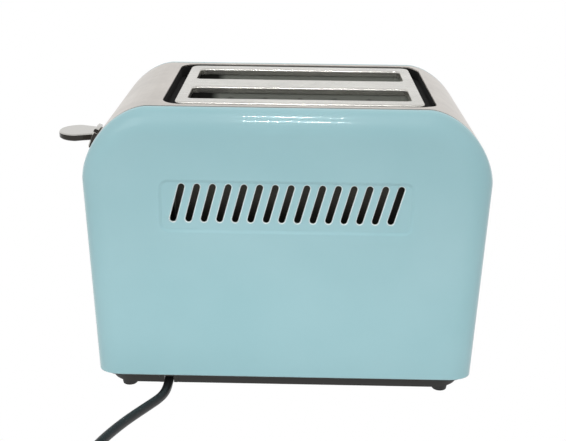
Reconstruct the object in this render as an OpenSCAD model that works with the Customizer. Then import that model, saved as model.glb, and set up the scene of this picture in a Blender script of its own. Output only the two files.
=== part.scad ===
// Two-slice pop-up toaster with enamelled side panels and a steel wrap.
// Millimetres. Z is up, the table is z = 0, the lever end is at -X,
// and the front side panel faces -Y.

/* [Body] */
// Length of the body over its two ends, at the widest
body_l = 253; // [230:1:290]
// Width over the two side panels
body_w = 153; // [150:1:180]
// Height of the top above the table
body_h = 192; // [180:1:210]
// Width of the steel wrap between the side panels
band_w = 131; // [130:1:136]
// How far each end leans in from its widest line down to the skirt
end_lean = 4; // [0:0.5:8]
// Length of the rounded corner between the top and an end
corner_l = 41.5; // [36:0.5:60]
// Height of the rounded corner between the top and an end
corner_h = 46.5; // [34:0.5:50]
// Fullness of the corner, where 2 is an ellipse and less is flatter
corner_full = 1.74; // [1.5:0.02:2.6]
// Inset of the side panel's flat face from the outline of the wrap
shoulder_r = 16; // [12:1:24]
// Height of the panels' lower edge above the table
skirt_z = 14.5; // [14:0.5:18]
// Thickness of the enamelled panel sheet
panel_t = 1; // [0.8:0.1:1.6]
// Thickness of the steel wrap
band_t = 0.8; // [0.6:0.1:1.2]
// Open seam between the wrap and a side panel
seam_gap = 0.5; // [0.3:0.1:1]

/* [Bread slots] */
// Length of a bread slot
slot_l = 140; // [130:1:146]
// Width of a bread slot
slot_w = 33; // [30:0.2:34.4]
// Metal left between the two slots
slot_gap = 23.4; // [22.4:0.5:24.4]
// Distance of the slots from the middle of the body, away from the lever
slot_off = 7; // [4:1:9]

/* [Top] */
// Length of the slot frame
frame_l = 154.4; // [153:0.2:160]
// Width of the slot frame
frame_w = 110.5; // [103:0.5:114]
// Corner radius of the slot frame
frame_r = 6; // [3:0.5:8]
// Thickness of the slot frame's plate
frame_t = 1.2; // [0.8:0.1:1.6]
// Depth of the lip round each slot
lip_h = 3; // [2:0.5:4]
// Thickness of the lips' metal
lip_t = 0.8; // [0.6:0.1:1]
// Corner radius of a bread slot
slot_r = 4; // [2:0.5:6]
// Depth of the dimpled liner in each slot
liner_h = 15; // [12:0.5:15.5]
// Thickness of the liner
liner_t = 0.6; // [0.5:0.1:0.8]
// Distance between the dimples of a liner
dimple_pitch = 22.8; // [20:0.2:25]
// Radius of a dimple
dimple_r = 3.2; // [2.5:0.1:4]
// Length of the opening in the wrap
opening_l = 169; // [167:1:174]
// Width of the opening in the wrap
opening_w = 121; // [118:1:124]
// Corner radius of the opening
opening_r = 12; // [8:1:14]
// Wall of the black surround
surround_t = 2; // [1.5:0.5:2]
// Depth of the trench in the surround below the top
trench_h = 8; // [7:0.5:10]

/* [Vents] */
// Number of slanted vents in a side panel
vent_n = 15; // [9:2:15]
// Distance between vents
vent_pitch = 9.6; // [8.5:0.1:10]
// Height of a vent
vent_h = 24.7; // [18:0.1:27]
// Width of a vent
vent_w = 3.9; // [3:0.1:4.5]
// Lean of a vent from upright, in degrees
vent_lean = 15; // [0:1:20]
// Height of the middle of the vents above the table
vent_z = 133.5; // [126:0.5:138]
// Length of the pressed field round the vents
field_l = 155; // [154:1:164]
// Height of the pressed field
field_h = 32.5; // [31:0.5:36]
// Drop of the field's middle below the vents' middle
field_drop = 2; // [0:0.5:3]
// Depth of the pressed field
field_d = 0.8; // [0.4:0.1:1]

/* [Base] */
// Height of a foot
foot_h = 4; // [3:0.5:5]
// Diameter of a foot
foot_d = 11; // [9:0.5:12]
// Distance between feet along the body
foot_span_l = 208; // [190:1:210]
// Distance between feet across the body
foot_span_w = 123; // [112:1:124]
// Inset of the base from the wrap at each end
base_inset_l = 6; // [5:0.5:9]
// Inset of the base from the face of each side panel
base_inset_w = 8; // [7:0.5:9]
// Corner radius of the base
base_r = 17; // [14:1:19]
// Wall of the base
base_t = 2.5; // [2:0.1:3]
// Depth of the hollow under the base floor
under_h = 2; // [1.5:0.1:2.5]

/* [Lever and carriage] */
// Travel of the lever
lever_travel = 72; // [60:1:74]
// Reach of the lever's tip beyond the body's end
lever_reach = 29; // [22:1:32]
// Half width of the lever's paddle
paddle_r = 13; // [10:0.5:14]
// Thickness of the paddle
paddle_t = 5; // [4:0.5:7]
// Height of the middle of the paddle at rest
lever_z = 156; // [151:1:157]
// Lean of the lever's flange, in degrees
lever_lean = 18; // [10:1:20]
// Thickness of the lever's arm
arm_t = 2.4; // [2:0.1:3]
// Height of the lever's arm
arm_h = 8; // [6:0.5:9]
// Radius of the guide rod
rod_r = 2.5; // [2:0.1:3]
// Running clearance on rods, shafts and pivots
run_gap = 0.06; // [0.02:0.01:0.1]
// Height of the bread rack's top at rest
rack_z = 118; // [112:1:120]
// Thickness of the bread rack's bar
rack_t = 1.6; // [1.2:0.1:2]
// Height of the bread rack's bar
rack_h = 8; // [6:0.5:9]
// Width of the tabs that carry the bread
tab_w = 14; // [10:1:16]
// Number of tabs on a rack
tab_n = 9; // [5:1:11]

/* [Chassis] */
// Inside distance between the end plates
chassis_l = 155; // [152:1:157]
// Thickness of the end plates
plate_t = 1; // [0.8:0.1:1.2]
// Width of the end plates
plate_w = 112; // [110:1:114]
// Height of the end plates' lower edge above the base floor
plate_lift = 11.5; // [11:0.5:14]
// Thickness of a heater card
card_t = 0.6; // [0.5:0.1:0.8]
// Height of a heater card
card_h = 118; // [90:1:122]
// Number of heating ribbons on a card
ribbon_n = 11; // [6:1:12]
// Radius of a guard's wires
wire_r = 0.9; // [0.7:0.1:1]
// Number of upright wires in a guard
wire_n = 10; // [6:1:14]
// Angle a guard closes through, in degrees
guard_close = 4; // [2:0.5:4.5]

/* [Controls] */
// Height of the browning knob's axis
knob_z = 48; // [46:1:50]
// Radius of the browning knob
knob_r = 16; // [13:0.5:17]
// Depth of the browning knob
knob_h = 11.5; // [9:0.5:12]
// Radius of the knob's shaft
shaft_r = 3; // [2.5:0.1:3.2]
// Radius of a push button
button_r = 5; // [4:0.5:6]
// Distance between push buttons
button_pitch = 16; // [15:0.5:17]
// Travel of a push button
button_travel = 1.6; // [1:0.1:2]
// Distance of the buttons from the middle of the end
button_y = 31; // [28:1:34]

/* [Cord] */
// Diameter of the mains cord
cord_d = 6.2; // [6:0.1:6.6]
// Length of the tapered strain relief
relief_l = 28; // [22:1:30]
// Radius of the coil's outer turn
coil_r = 38; // [37:1:42]
// Turns of the coil in one layer
coil_turns = 1.375; // [1.375:1:2.375]
// Distance between neighbouring turns
coil_step = 6.8; // [6.7:0.1:7.4]
// Dip of the climb inside the inner turn
coil_dip = 1.8; // [1.6:0.1:2.4]

/* [Hidden] */
$fn = 48;

// Overshoot of cuts
eps = 1;
// Gap between parts that rest side by side
rest_gap = 0.3;
mint = "#a0c8cd";
steel = "#c6c4be";
black = "#232220";

// The origin lies under the middle of the box, lever included
x_shift = lever_reach / 2;

// Outline of the body, seen from the side
waist_z = body_h - corner_h;
end_x = body_l / 2;
foot_x = end_x - end_lean;
corner_x = end_x - corner_l;
corner_n = 14;
function share(v) = pow(max(0, v), 2 / corner_full);
function end_at(z) =
    z < waist_z ? foot_x + end_lean * (z - skirt_z) / (waist_z - skirt_z)
    : corner_x + corner_l
        * pow(max(0, 1 - pow((z - waist_z) / corner_h, corner_full)), 1 / corner_full);
function corner_point(a) =
    [corner_x + corner_l * share(cos(a)), waist_z + corner_h * share(sin(a))];
function corner_out(a) =
    let (power = 2 - 2 / corner_full,
         n = [pow(max(0, cos(a)), power) / corner_l, pow(max(0, sin(a)), power) / corner_h])
            n / norm(n);
function half_outline(d, low) = [
    [end_at(low) - d, low],
    for (i = [0:corner_n]) let (a = 90 * i / corner_n) corner_point(a) - d * corner_out(a)
];
function mirrored(p) = [for (i = [len(p) - 1:-1:0]) [-p[i][0], p[i][1]]];
function outline(d, low) =
    let (half = half_outline(d, low)) concat(half, mirrored(half));

// Heights in the base
floor_z = foot_h + under_h;
floor_top = floor_z + base_t;
plate_z = floor_top + plate_lift;
base_x = foot_x - base_inset_l;
base_y = body_w / 2 - base_inset_w;
flange_t = 3;

// Places across the bread slots
slot_y = (slot_w + slot_gap) / 2;
guard_out = slot_y + slot_w / 2 + wire_r + 0.4;
guard_in = slot_y - slot_w / 2 - wire_r - 0.4;
pivot_r = 1.3;
pivot_z = plate_z + 18;
guard_top = surround_z() - 11;
card_out = guard_out + pivot_r + 3;
card_in = guard_in - pivot_r - 3;
card_z = plate_z + 28;
shield_y = plate_w / 2 - plate_t;

// Places along the chassis
plate_in_l = slot_off - chassis_l / 2;
plate_in_r = slot_off + chassis_l / 2;
rod_x = plate_in_l - plate_t - 14.5;
lifter_x = plate_in_l - plate_t - 4;
lifter_t = 1.5;
sleeve_r = 5.5;
sleeve_z = rack_z - 14;
sleeve_h = 30;
socket_h = 6;
keeper_t = 2.4;
keeper_w = 20;
keeper_y = 22;

function surround_z() = body_h - trench_h - surround_t;

// Places in the control end
board_x = -end_x + 16;
board_t = 1.6;
pot_l = 8;
button_z = knob_z + 40;
cap_out = 3.2;
guide_x = -end_at(button_z - 1.6 * button_pitch) + band_t + rest_gap;

// Cord
cord_r = cord_d / 2;
cord_x = x_shift + plate_in_l - 6.5;
relief_y = -58;
relief_z = 7;
relief_root = 4.6;
coil_x = cord_x - 3;
coil_y = -205;
layer_step = cord_d + 0.6;
coil_sides = 6;
coil_rings = 24;
climb_turns = 0.5;

module place() translate([x_shift, 0, 0]) children();

// A rounded rectangle in the XY plane, centred
module rounded(l, w, r) {
    square([l - 2 * r, w], center = true);
    square([l, w - 2 * r], center = true);
    for (sx = [-1, 1]) for (sy = [-1, 1])
        translate([sx * (l / 2 - r), sy * (w / 2 - r)]) circle(r);
}

// A slot with round ends, upright in the XY plane
module obround(w, h) {
    square([w, h - w], center = true);
    for (s = [-1, 1]) translate([0, s * (h - w) / 2]) circle(w / 2);
}

// Lays an XY drawing into the XZ plane, with its thickness along Y
module upright(t) rotate([90, 0, 0]) linear_extrude(t, center = true) children();

// Lays an XY drawing into the YZ plane, with its thickness along X
module across(t) rotate([90, 0, 90]) linear_extrude(t, center = true) children();

// A skin over rings of points; the rings wind the same way
module loft(rings) {
    n = len(rings[0]);
    m = len(rings);
    points = [for (ring = rings) for (p = ring) p];
    sides = [
        for (k = [0:m - 2]) for (i = [0:n - 1])
            let (a = k * n + i, b = k * n + (i + 1) % n)
                each [[a, b, b + n], [a, b + n, a + n]]
    ];
    first = [for (i = [n - 1:-1:0]) i];
    last = [for (i = [0:n - 1]) (m - 1) * n + i];
    polyhedron(points, concat(sides, [first, last]));
}

// A round tube along a path; the path never stands upright
function unit(v) = v / norm(v);
function heading(p, i) =
    unit(p[min(i + 1, len(p) - 1)] - p[max(i - 1, 0)]);
function ring_at(c, t, r, sides) =
    let (side = unit(cross(t, [0, 0, 1])), up = cross(side, t))
        [for (j = [0:sides - 1]) let (a = 360 * (j + 0.5) / sides)
            c + r * (cos(a) * side + sin(a) * up)];
function tube_rings(p, r, sides) =
    [for (i = [0:len(p) - 1]) ring_at(p[i], heading(p, i), r, sides)];

// The drawn shoulder of a side panel: its section swept along the outline
shoulder_n = 8;
module panel_shoulder() {
    depth = (body_w - band_w) / 2;
    turns = [for (k = [0:shoulder_n]) 90 * k / shoulder_n];
    outer = [for (a = turns) [shoulder_r * (1 - cos(a)), depth * sin(a)]];
    inner = [for (a = turns)
        [shoulder_r - (shoulder_r - panel_t) * cos(a), (depth - panel_t) * sin(a)]];
    rim = [[0, seam_gap], [panel_t, seam_gap]];
    section = concat(
        [rim[0]], [for (k = [1:shoulder_n]) outer[k]],
        [for (k = [shoulder_n:-1:1]) inner[k]], [rim[1]]
    );
    outlines = [for (s = section) outline(s[0], skirt_z)];
    loft([
        for (i = [0:len(outlines[0]) - 1])
            [for (k = [0:len(section) - 1])
                [outlines[k][i][0], -band_w / 2 - section[k][1], outlines[k][i][1]]]
    ]);
}

module vent_shapes() {
    for (i = [0:vent_n - 1])
        translate([(i - (vent_n - 1) / 2) * vent_pitch, vent_z])
            rotate(-vent_lean) obround(vent_w, vent_h / cos(vent_lean) - vent_w * 0.04);
}

module side_panel() {
    face = body_w / 2;
    field_z = vent_z - field_drop;
    color(mint) {
        panel_shoulder();
        difference() {
            union() {
                translate([0, panel_t / 2 - face, 0])
                    upright(panel_t) polygon(outline(shoulder_r, skirt_z));
                translate([0, panel_t + field_d / 2 - face - 0.05, field_z])
                    upright(field_d + 0.1) rounded(field_l + 4, field_h + 4, 6);
            }
            translate([0, -face - eps / 2 + field_d / 2, field_z])
                upright(field_d + eps) rounded(field_l, field_h, 5);
            translate([0, -face, 0]) upright(8 * panel_t) vent_shapes();
        }
    }
}

module side_panel_front() place() side_panel();

module side_panel_back() place() rotate(180) side_panel();

// The steel wrap: one end, the top and the other end in one sheet
module top_band() place() color(steel) difference() {
    upright(band_w - seam_gap) difference() {
        polygon(outline(0, skirt_z));
        polygon(outline(band_t, skirt_z - eps));
    }
    translate([slot_off, 0, body_h - corner_h / 2])
        linear_extrude(corner_h) rounded(opening_l, opening_w, opening_r);
    translate([-end_x, 0, lever_z - lever_travel / 2])
        across(corner_l) obround(arm_t + 1.6, lever_travel + arm_h + 5);
    translate([-end_x, 0, knob_z]) rotate([0, 90, 0])
        cylinder(r = shaft_r + 1.5, h = corner_l, center = true);
    for (i = [-1:1]) translate([-end_x, button_y, button_z + i * button_pitch])
        rotate([0, 90, 0])
            cylinder(r = button_r + 0.4, h = corner_l, center = true);
}

// The black surround: a trench that carries the slot frame on its inner wall
module top_surround() place() color(black) {
    seat_z = body_h - frame_t;
    wall_in = 1.5;
    intersection() {
        upright(body_w) polygon(outline(band_t + rest_gap, skirt_z));
        translate([slot_off, 0, 0]) difference() {
            translate([0, 0, surround_z()]) linear_extrude(corner_h)
                rounded(opening_l + 2 * surround_t, opening_w + 2 * surround_t,
                        opening_r + surround_t);
            translate([0, 0, surround_z() + surround_t]) linear_extrude(corner_h)
                rounded(opening_l, opening_w, opening_r);
            translate([0, 0, surround_z() - eps]) linear_extrude(corner_h)
                rounded(frame_l - 2 * wall_in - 2 * surround_t,
                        frame_w - 2 * wall_in - 2 * surround_t, frame_r - 2);
        }
    }
    translate([slot_off, 0, surround_z() + surround_t])
        linear_extrude(seat_z - surround_z() - surround_t) difference() {
            rounded(frame_l - 2 * wall_in, frame_w - 2 * wall_in, frame_r - 1);
            rounded(frame_l - 2 * wall_in - 2 * surround_t,
                    frame_w - 2 * wall_in - 2 * surround_t, frame_r - 2);
        }
}

// The steel frame round both slots, with a lip into each
module slot_frame() place() translate([slot_off, 0, body_h]) color("#c9c8c2") {
    corner = slot_r;
    rim_h = 2;
    translate([0, 0, -frame_t]) linear_extrude(frame_t) difference() {
        rounded(frame_l, frame_w, frame_r);
        for (s = [-1, 1]) translate([0, s * slot_y]) rounded(slot_l, slot_w, corner);
    }
    for (s = [-1, 1]) translate([0, s * slot_y, -lip_h - frame_t])
        linear_extrude(lip_h) difference() {
            rounded(slot_l + 2 * lip_t, slot_w + 2 * lip_t, corner + lip_t);
            rounded(slot_l, slot_w, corner);
        }
    translate([0, 0, -frame_t - rim_h]) linear_extrude(rim_h) difference() {
        rounded(frame_l, frame_w, frame_r);
        rounded(frame_l - 2 * lip_t, frame_w - 2 * lip_t, frame_r - lip_t);
    }
}

// The dimpled sheet sleeve that hangs in each slot, below the frame's plate
module slot_liners() place() translate([slot_off, 0, body_h - frame_t - liner_h])
    color("#6a6b65") for (s = [-1, 1]) translate([0, s * slot_y, 0]) {
        fit = 0.15;
        in_l = slot_l + 2 * (lip_t + fit);
        in_w = slot_w + 2 * (lip_t + fit);
        in_r = slot_r + lip_t + fit;
        dimple_z = (liner_h - lip_h) / 2;
        count = floor((in_l - 4 * dimple_r) / dimple_pitch);
        linear_extrude(liner_h) difference() {
            rounded(in_l + 2 * liner_t, in_w + 2 * liner_t, in_r + liner_t);
            rounded(in_l, in_w, in_r);
        }
        for (side = [-1, 1]) for (i = [0:count - 1])
            translate([(i - (count - 1) / 2) * dimple_pitch,
                       side * (in_w / 2 + liner_t / 2), dimple_z])
                rotate([side * 90, 0, 0])
                    cylinder(r1 = dimple_r, r2 = dimple_r - liner_t, h = liner_t / 2 + 0.6,
                             $fn = 16);
    }

boss_r = 4;
boss_y = plate_w / 2 - boss_r;
boss_in = 7;
screw_r = 2;
screw_head_r = 3.4;
screw_head_h = 1.9;
screw_end = plate_z + plate_t + 3;
tray_w = 2 * (boss_y - boss_r) - 4;
tray_z = floor_top + rest_gap;
tray_h = 4.2;
rail_w = 3.3;
rail_h = 48;
rib_out = 0.8;
rib_h = 1.6;
board_y0 = -19.5;
board_y1 = 55.5;

module base_bosses() {
    for (x = [plate_in_l + boss_in, plate_in_r - boss_in])
        for (s = [-1, 1]) translate([x, s * boss_y, 0]) children();
}

// The black base moulding, with its cord trough, bosses and board rails
module base() place() color(black) difference() {
    flange_z = skirt_z + 1;
    flange_x = end_at(flange_z) - band_t - rest_gap;
    flange_y = body_w / 2 - panel_t - rest_gap;
    trough_w = cord_d + 10;
    trough_y = relief_y + relief_l + 2;
    trough_top = relief_z + relief_root + 1.4;
    cord_bx = cord_x - lever_reach / 2;
    union() {
        difference() {
            union() {
                translate([0, 0, foot_h]) linear_extrude(flange_z - foot_h)
                    rounded(2 * base_x, 2 * base_y, base_r);
                translate([0, 0, foot_h + 4]) linear_extrude(rib_h)
                    rounded(2 * (base_x + rib_out), 2 * (base_y + rib_out), base_r + rib_out);
                translate([0, 0, flange_z]) linear_extrude(flange_t)
                    rounded(2 * flange_x, 2 * flange_y, shoulder_r + 1);
            }
            translate([0, 0, floor_top]) linear_extrude(body_h)
                rounded(2 * (base_x - base_t), 2 * (base_y - base_t), base_r - base_t);
            translate([0, 0, foot_h - eps]) linear_extrude(under_h + eps)
                rounded(2 * (base_x - base_t), 2 * (base_y - base_t), base_r - base_t);
        }
        for (sx = [-1, 1]) for (sy = [-1, 1])
            translate([sx * foot_span_l / 2, sy * foot_span_w / 2, foot_h])
                cylinder(d = foot_d, h = under_h + base_t);
        base_bosses() translate([0, 0, floor_z])
            cylinder(r = boss_r, h = plate_z - floor_z);
        translate([rod_x, 0, floor_z]) cylinder(r = rod_r + 2.5, h = socket_h + base_t);
        translate([cord_bx - trough_w / 2, -base_y, floor_z])
            cube([trough_w, base_y + trough_y + base_t, trough_top + 2 - floor_z]);
        for (y = [board_y0 - rail_w / 2, board_y1 + rail_w / 2 - 2])
            translate([board_x - 4, y - rail_w / 2 + 0.5, floor_z])
                cube([8 + board_t, rail_w, rail_h]);
    }
    translate([cord_bx - trough_w / 2 + 2, -base_y - eps, foot_h - eps])
        cube([trough_w - 4, base_y + trough_y + eps, trough_top - foot_h + eps]);
    translate([cord_bx, trough_y, relief_z]) rotate([-90, 0, 0])
        cylinder(r = relief_root - 1 + run_gap, h = 4 * base_t, center = true);
    translate([base_x, 0, tray_z - rest_gap + (tray_h + 2 * rest_gap) / 2])
        cube([4 * base_t, tray_w + 4 * rest_gap, tray_h + 2 * rest_gap], center = true);
    translate([rod_x, 0, floor_top]) cylinder(r = rod_r + run_gap, h = body_h);
    for (sx = [-1, 1]) for (sy = [-1, 1])
        translate([sx * foot_span_l / 2, sy * foot_span_w / 2, foot_h - eps])
            cylinder(r = foot_d / 4 + run_gap, h = under_h + base_t);
    base_bosses() translate([0, 0, foot_h - eps]) {
        cylinder(r = screw_r + run_gap, h = body_h);
        cylinder(r = screw_head_r + 0.2, h = under_h + 2 * eps);
    }
    translate([board_x - 0.2, board_y0 - rest_gap, floor_top])
        cube([board_t + 0.4, board_y1 - board_y0 + 2 * rest_gap, body_h]);
}

module feet() place() color("#1d1c1b")
    for (sx = [-1, 1]) for (sy = [-1, 1])
        translate([sx * foot_span_l / 2, sy * foot_span_w / 2, 0]) {
            cylinder(d1 = foot_d - 1.4, d2 = foot_d, h = foot_h);
            cylinder(r = foot_d / 4, h = foot_h + base_t);
        }

// Screws from below that hold the end plates down
module base_screws() place() color("silver")
    base_bosses() {
        translate([0, 0, floor_z + eps - screw_head_h])
            cylinder(r = screw_head_r, h = screw_head_h);
        translate([0, 0, floor_z + eps]) cylinder(r = screw_r, h = screw_end - floor_z - eps);
    }

// An end plate of the chassis, its inside face on x = 0, flange towards +X
module end_plate() {
    tall = surround_z() - plate_z;
    cut_low = rack_z - rack_h - 1 - lever_travel - 3;
    cut_high = rack_z + 4;
    difference() {
        union() {
            translate([-plate_t / 2, 0, plate_z + tall / 2])
                across(plate_t) square([plate_w, tall], center = true);
            for (s = [-1, 1])
                translate([-eps / 2, s * boss_y - boss_r, plate_z])
                    cube([boss_in + boss_r, 2 * boss_r, plate_t]);
        }
        for (s = [-1, 1]) {
            translate([0, s * slot_y, (cut_low + cut_high) / 2])
                across(4 * plate_t) obround(rack_t + 2.4, cut_high - cut_low);
            for (y = [guard_out, guard_in])
                translate([0, s * y, pivot_z]) rotate([0, 90, 0])
                    cylinder(r = pivot_r + run_gap, h = 4 * plate_t, center = true);
            for (y = [card_out, card_in]) for (z = [0.2, 0.8])
                translate([0, s * y, card_z + card_h * z])
                    cube([4 * plate_t, card_t + 0.2, 12.4], center = true);
            translate([boss_in, s * boss_y, plate_z - eps])
                cylinder(r = screw_r + run_gap, h = 4 * plate_t);
        }
    }
}

module end_plate_left() place() color("#b9b7b0")
    translate([plate_in_l, 0, 0]) end_plate();

module end_plate_right() place() color("#b9b7b0")
    translate([plate_in_r, 0, 0]) rotate(180) end_plate();

// A bright sheet behind the vents, hooked between the end plates
module heat_shield(side) {
    sheet = 0.5;
    low = screw_end + 2;
    high = surround_z() - 1;
    translate([slot_off, side * shield_y, (low + high) / 2]) {
        cube([chassis_l, sheet, high - low], center = true);
        for (z = [low, high])
            translate([0, -side * 2, z - (low + high) / 2 + (z == low ? 0.25 : -0.25)])
                cube([chassis_l, 4, sheet], center = true);
    }
}

module heat_shield_front() place() color("#8d8b86") heat_shield(-1);

module heat_shield_back() place() color("#8d8b86") heat_shield(1);

// A mica card wound with flat heating ribbon
module heater_card(y) {
    ribbon_w = 1.8;
    ribbon_t = 0.25;
    fit = 0.2;
    translate([slot_off, y, card_z]) {
        color("#b8a27a") {
            translate([0, 0, card_h / 2])
                cube([chassis_l - 2 * fit, card_t, card_h], center = true);
            for (z = [0.2, 0.8]) translate([0, 0, card_h * z])
                cube([chassis_l + 2 * plate_t + 4, card_t, 12], center = true);
        }
        color("#6f6a62") for (i = [0:ribbon_n - 1])
            translate([0, 0, card_h * (i + 0.7) / (ribbon_n + 0.4)])
                cube([chassis_l - 14, card_t + 2 * ribbon_t, ribbon_w], center = true);
    }
}

module heater_front_outer() place() heater_card(-card_out);

module heater_front_inner() place() heater_card(-card_in);

module heater_back_inner() place() heater_card(card_in);

module heater_back_outer() place() heater_card(card_out);

// A wire guard that pivots on its lower rod and centres the bread
module guard(y) {
    span = slot_l - 6;
    rail_r = wire_r + 0.3;
    color("#a9a7a0") translate([slot_off, y, 0]) {
        translate([0, 0, pivot_z]) rotate([0, 90, 0])
            cylinder(r = pivot_r, h = chassis_l + 2 * plate_t + 5, center = true);
        translate([0, 0, guard_top]) rotate([0, 90, 0])
            cylinder(r = rail_r, h = span + 4, center = true);
        for (i = [0:wire_n - 1])
            translate([(i / (wire_n - 1) - 0.5) * span, 0, pivot_z])
                cylinder(r = wire_r, h = guard_top - pivot_z);
    }
}

module guard_front_outer() place() guard(-guard_out);

module guard_front_inner() place() guard(-guard_in);

module guard_back_inner() place() guard(guard_in);

module guard_back_outer() place() guard(guard_out);

// The bar that lifts one slice, with tabs bent over its top edge
rack_end = plate_in_r + plate_t + 4;
module bread_rack(y) {
    bar_z = rack_z - 1 - rack_h;
    color("#9c9a94") translate([0, y, 0]) {
        translate([lifter_x, -rack_t / 2, bar_z])
            cube([rack_end - lifter_x, rack_t, rack_h]);
        for (i = [0:tab_n - 1])
            translate([slot_off + (i / (tab_n - 1) - 0.5) * (slot_l - 12) - 1.5,
                       -tab_w / 2, rack_z - 1])
                cube([3, tab_w, 1]);
    }
}

module bread_rack_front() place() bread_rack(-slot_y);

module bread_rack_back() place() bread_rack(slot_y);

module rack_tie() place() color("#9c9a94")
    translate([rack_end, -slot_y - 5, rack_z - 1 - rack_h])
        cube([lifter_t, 2 * slot_y + 10, rack_h]);

// The pressed carriage: sleeve on the guide rod, lifter plate and lever arm
flange_gap = 3.5;
flange_x = -end_x - flange_gap;
function lever_face(z) = flange_x + (z - lever_z) * tan(lever_lean);
module carriage() place() color("#a5a39c") difference() {
    arm_low = lever_z - arm_h / 2;
    arm_high = lever_z + arm_h / 2;
    top_z = sleeve_z + sleeve_h;
    union() {
        translate([rod_x, 0, sleeve_z]) cylinder(r = sleeve_r, h = sleeve_h);
        translate([lifter_x - lifter_t, -slot_y - 5, rack_z - 1 - rack_h - 3])
            cube([lifter_t, 2 * slot_y + 10, rack_h + 14]);
        translate([rod_x, -1.5, sleeve_z + 2])
            cube([lifter_x - rod_x - lifter_t / 2, 3, sleeve_h - 6]);
        upright(arm_t) polygon([
            [rod_x, sleeve_z + 8], [rod_x, top_z], [rod_x - sleeve_r - 1, top_z + 4],
            [rod_x - 16, arm_high], [lever_face(arm_high), arm_high],
            [lever_face(arm_low), arm_low], [rod_x - 21, arm_low],
            [rod_x - sleeve_r - 5, top_z - 4], [rod_x - sleeve_r - 4, sleeve_z + 12]
        ]);
        translate([rod_x - 8, keeper_y - keeper_w / 2, sleeve_z])
            cube([lifter_x - rod_x + 8, keeper_w, 2]);
        translate([lifter_x - lifter_t, keeper_y - keeper_w / 2, sleeve_z])
            cube([lifter_t, keeper_w, 6]);
    }
    translate([rod_x, 0, 0]) cylinder(r = rod_r + run_gap, h = body_h);
}

// The soft iron plate that the magnet holds down
module keeper_plate() place() color("#77756f")
    translate([rod_x - 7, keeper_y - keeper_w / 2 + 1, sleeve_z - keeper_t])
        cube([14, keeper_w - 2, keeper_t]);

// The chrome handle: a leaning flange and a rounded oval paddle
module lever_handle() place() color("#d9dadb") {
    plate = 3;
    plate_l = 20;
    plate_h = 18;
    root_w = 15;
    edge_in = 1.4;
    tip_x = -end_x - lever_reach;
    round_x = tip_x + paddle_r;
    translate([flange_x, 0, lever_z]) rotate([0, lever_lean, 0])
        translate([-plate / 2, 0, 0]) across(plate) rounded(plate_l, plate_h, plate_l / 4);
    intersection() {
        hull() {
            for (s = [-1, 1]) translate([round_x, 0, lever_z + s * paddle_t / 4])
                cylinder(r = paddle_r - edge_in, h = paddle_t / 2, center = true, $fn = 32);
            translate([round_x, 0, lever_z])
                cylinder(r = paddle_r, h = paddle_t / 3, center = true, $fn = 32);
            translate([flange_x, 0, lever_z]) cube([1, root_w, paddle_t], center = true);
        }
        upright(body_w) polygon([
            [tip_x - eps, lever_z - plate_h], [tip_x - eps, lever_z + plate_h],
            [lever_face(lever_z + plate_h) - plate / 2, lever_z + plate_h],
            [lever_face(lever_z - plate_h) - plate / 2, lever_z - plate_h]
        ]);
    }
}

module guide_rod() place() color("#d0d0ce")
    translate([rod_x, 0, floor_top]) cylinder(r = rod_r, h = bracket_z + 4 - floor_top);

// The bracket on the end plate that holds the top of the guide rod
bracket_z = surround_z() - 12;
module rod_bracket() place() color("#b9b7b0") difference() {
    union() {
        translate([rod_x - 6, -7, bracket_z])
            cube([plate_in_l - plate_t - rod_x + 6, 14, 1.5]);
        translate([plate_in_l - plate_t - 1.5, -7, bracket_z - 8])
            cube([1.5, 14, 9.5]);
    }
    translate([rod_x, 0, bracket_z - eps]) cylinder(r = rod_r + run_gap, h = 4);
}

// The spring round the guide rod that lifts the carriage
spring_wire = 0.6;
spring_mean = rod_r + 1.7;
spring_curls = 14;
spring_low = floor_top + socket_h + spring_wire + 0.05;
spring_high = sleeve_z - spring_wire - 0.05;
dead_pitch = 1.5;
function spring_height(u) =
    let (live = spring_high - spring_low - 2 * dead_pitch)
        u < 1 ? spring_low + u * dead_pitch
        : u > spring_curls - 1 ? spring_high - (spring_curls - u) * dead_pitch
        : spring_low + dead_pitch + live * (u - 1) / (spring_curls - 2);
function spring_path() = [
    for (i = [0:8 * spring_curls]) let (u = i / 8)
        [rod_x + spring_mean * cos(360 * u), spring_mean * sin(360 * u),
         spring_height(u)]
];
module return_spring() place() color("#8f8f8c")
    loft(tube_rings(spring_path(), spring_wire, 6));

// The holding magnet: an iron core with three legs, and its winding
magnet_top = sleeve_z - keeper_t - lever_travel - rest_gap;
module magnet_core() place() color("#6b6965")
    translate([rod_x - 7, keeper_y - keeper_w / 2, floor_top]) difference() {
        cube([14, keeper_w, magnet_top - floor_top]);
        for (s = [0, 1])
            translate([-eps, 3 + s * 8.5, 4]) cube([14 + 2 * eps, 5.5, body_h]);
    }

module magnet_coil() place() color("#9a4b2c")
    translate([rod_x, keeper_y, floor_top + 4]) linear_extrude(magnet_top - floor_top - 7)
        difference() {
            rounded(20, keeper_w - 6.4, 2);
            square([14.4, 3.4], center = true);
        }

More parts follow.
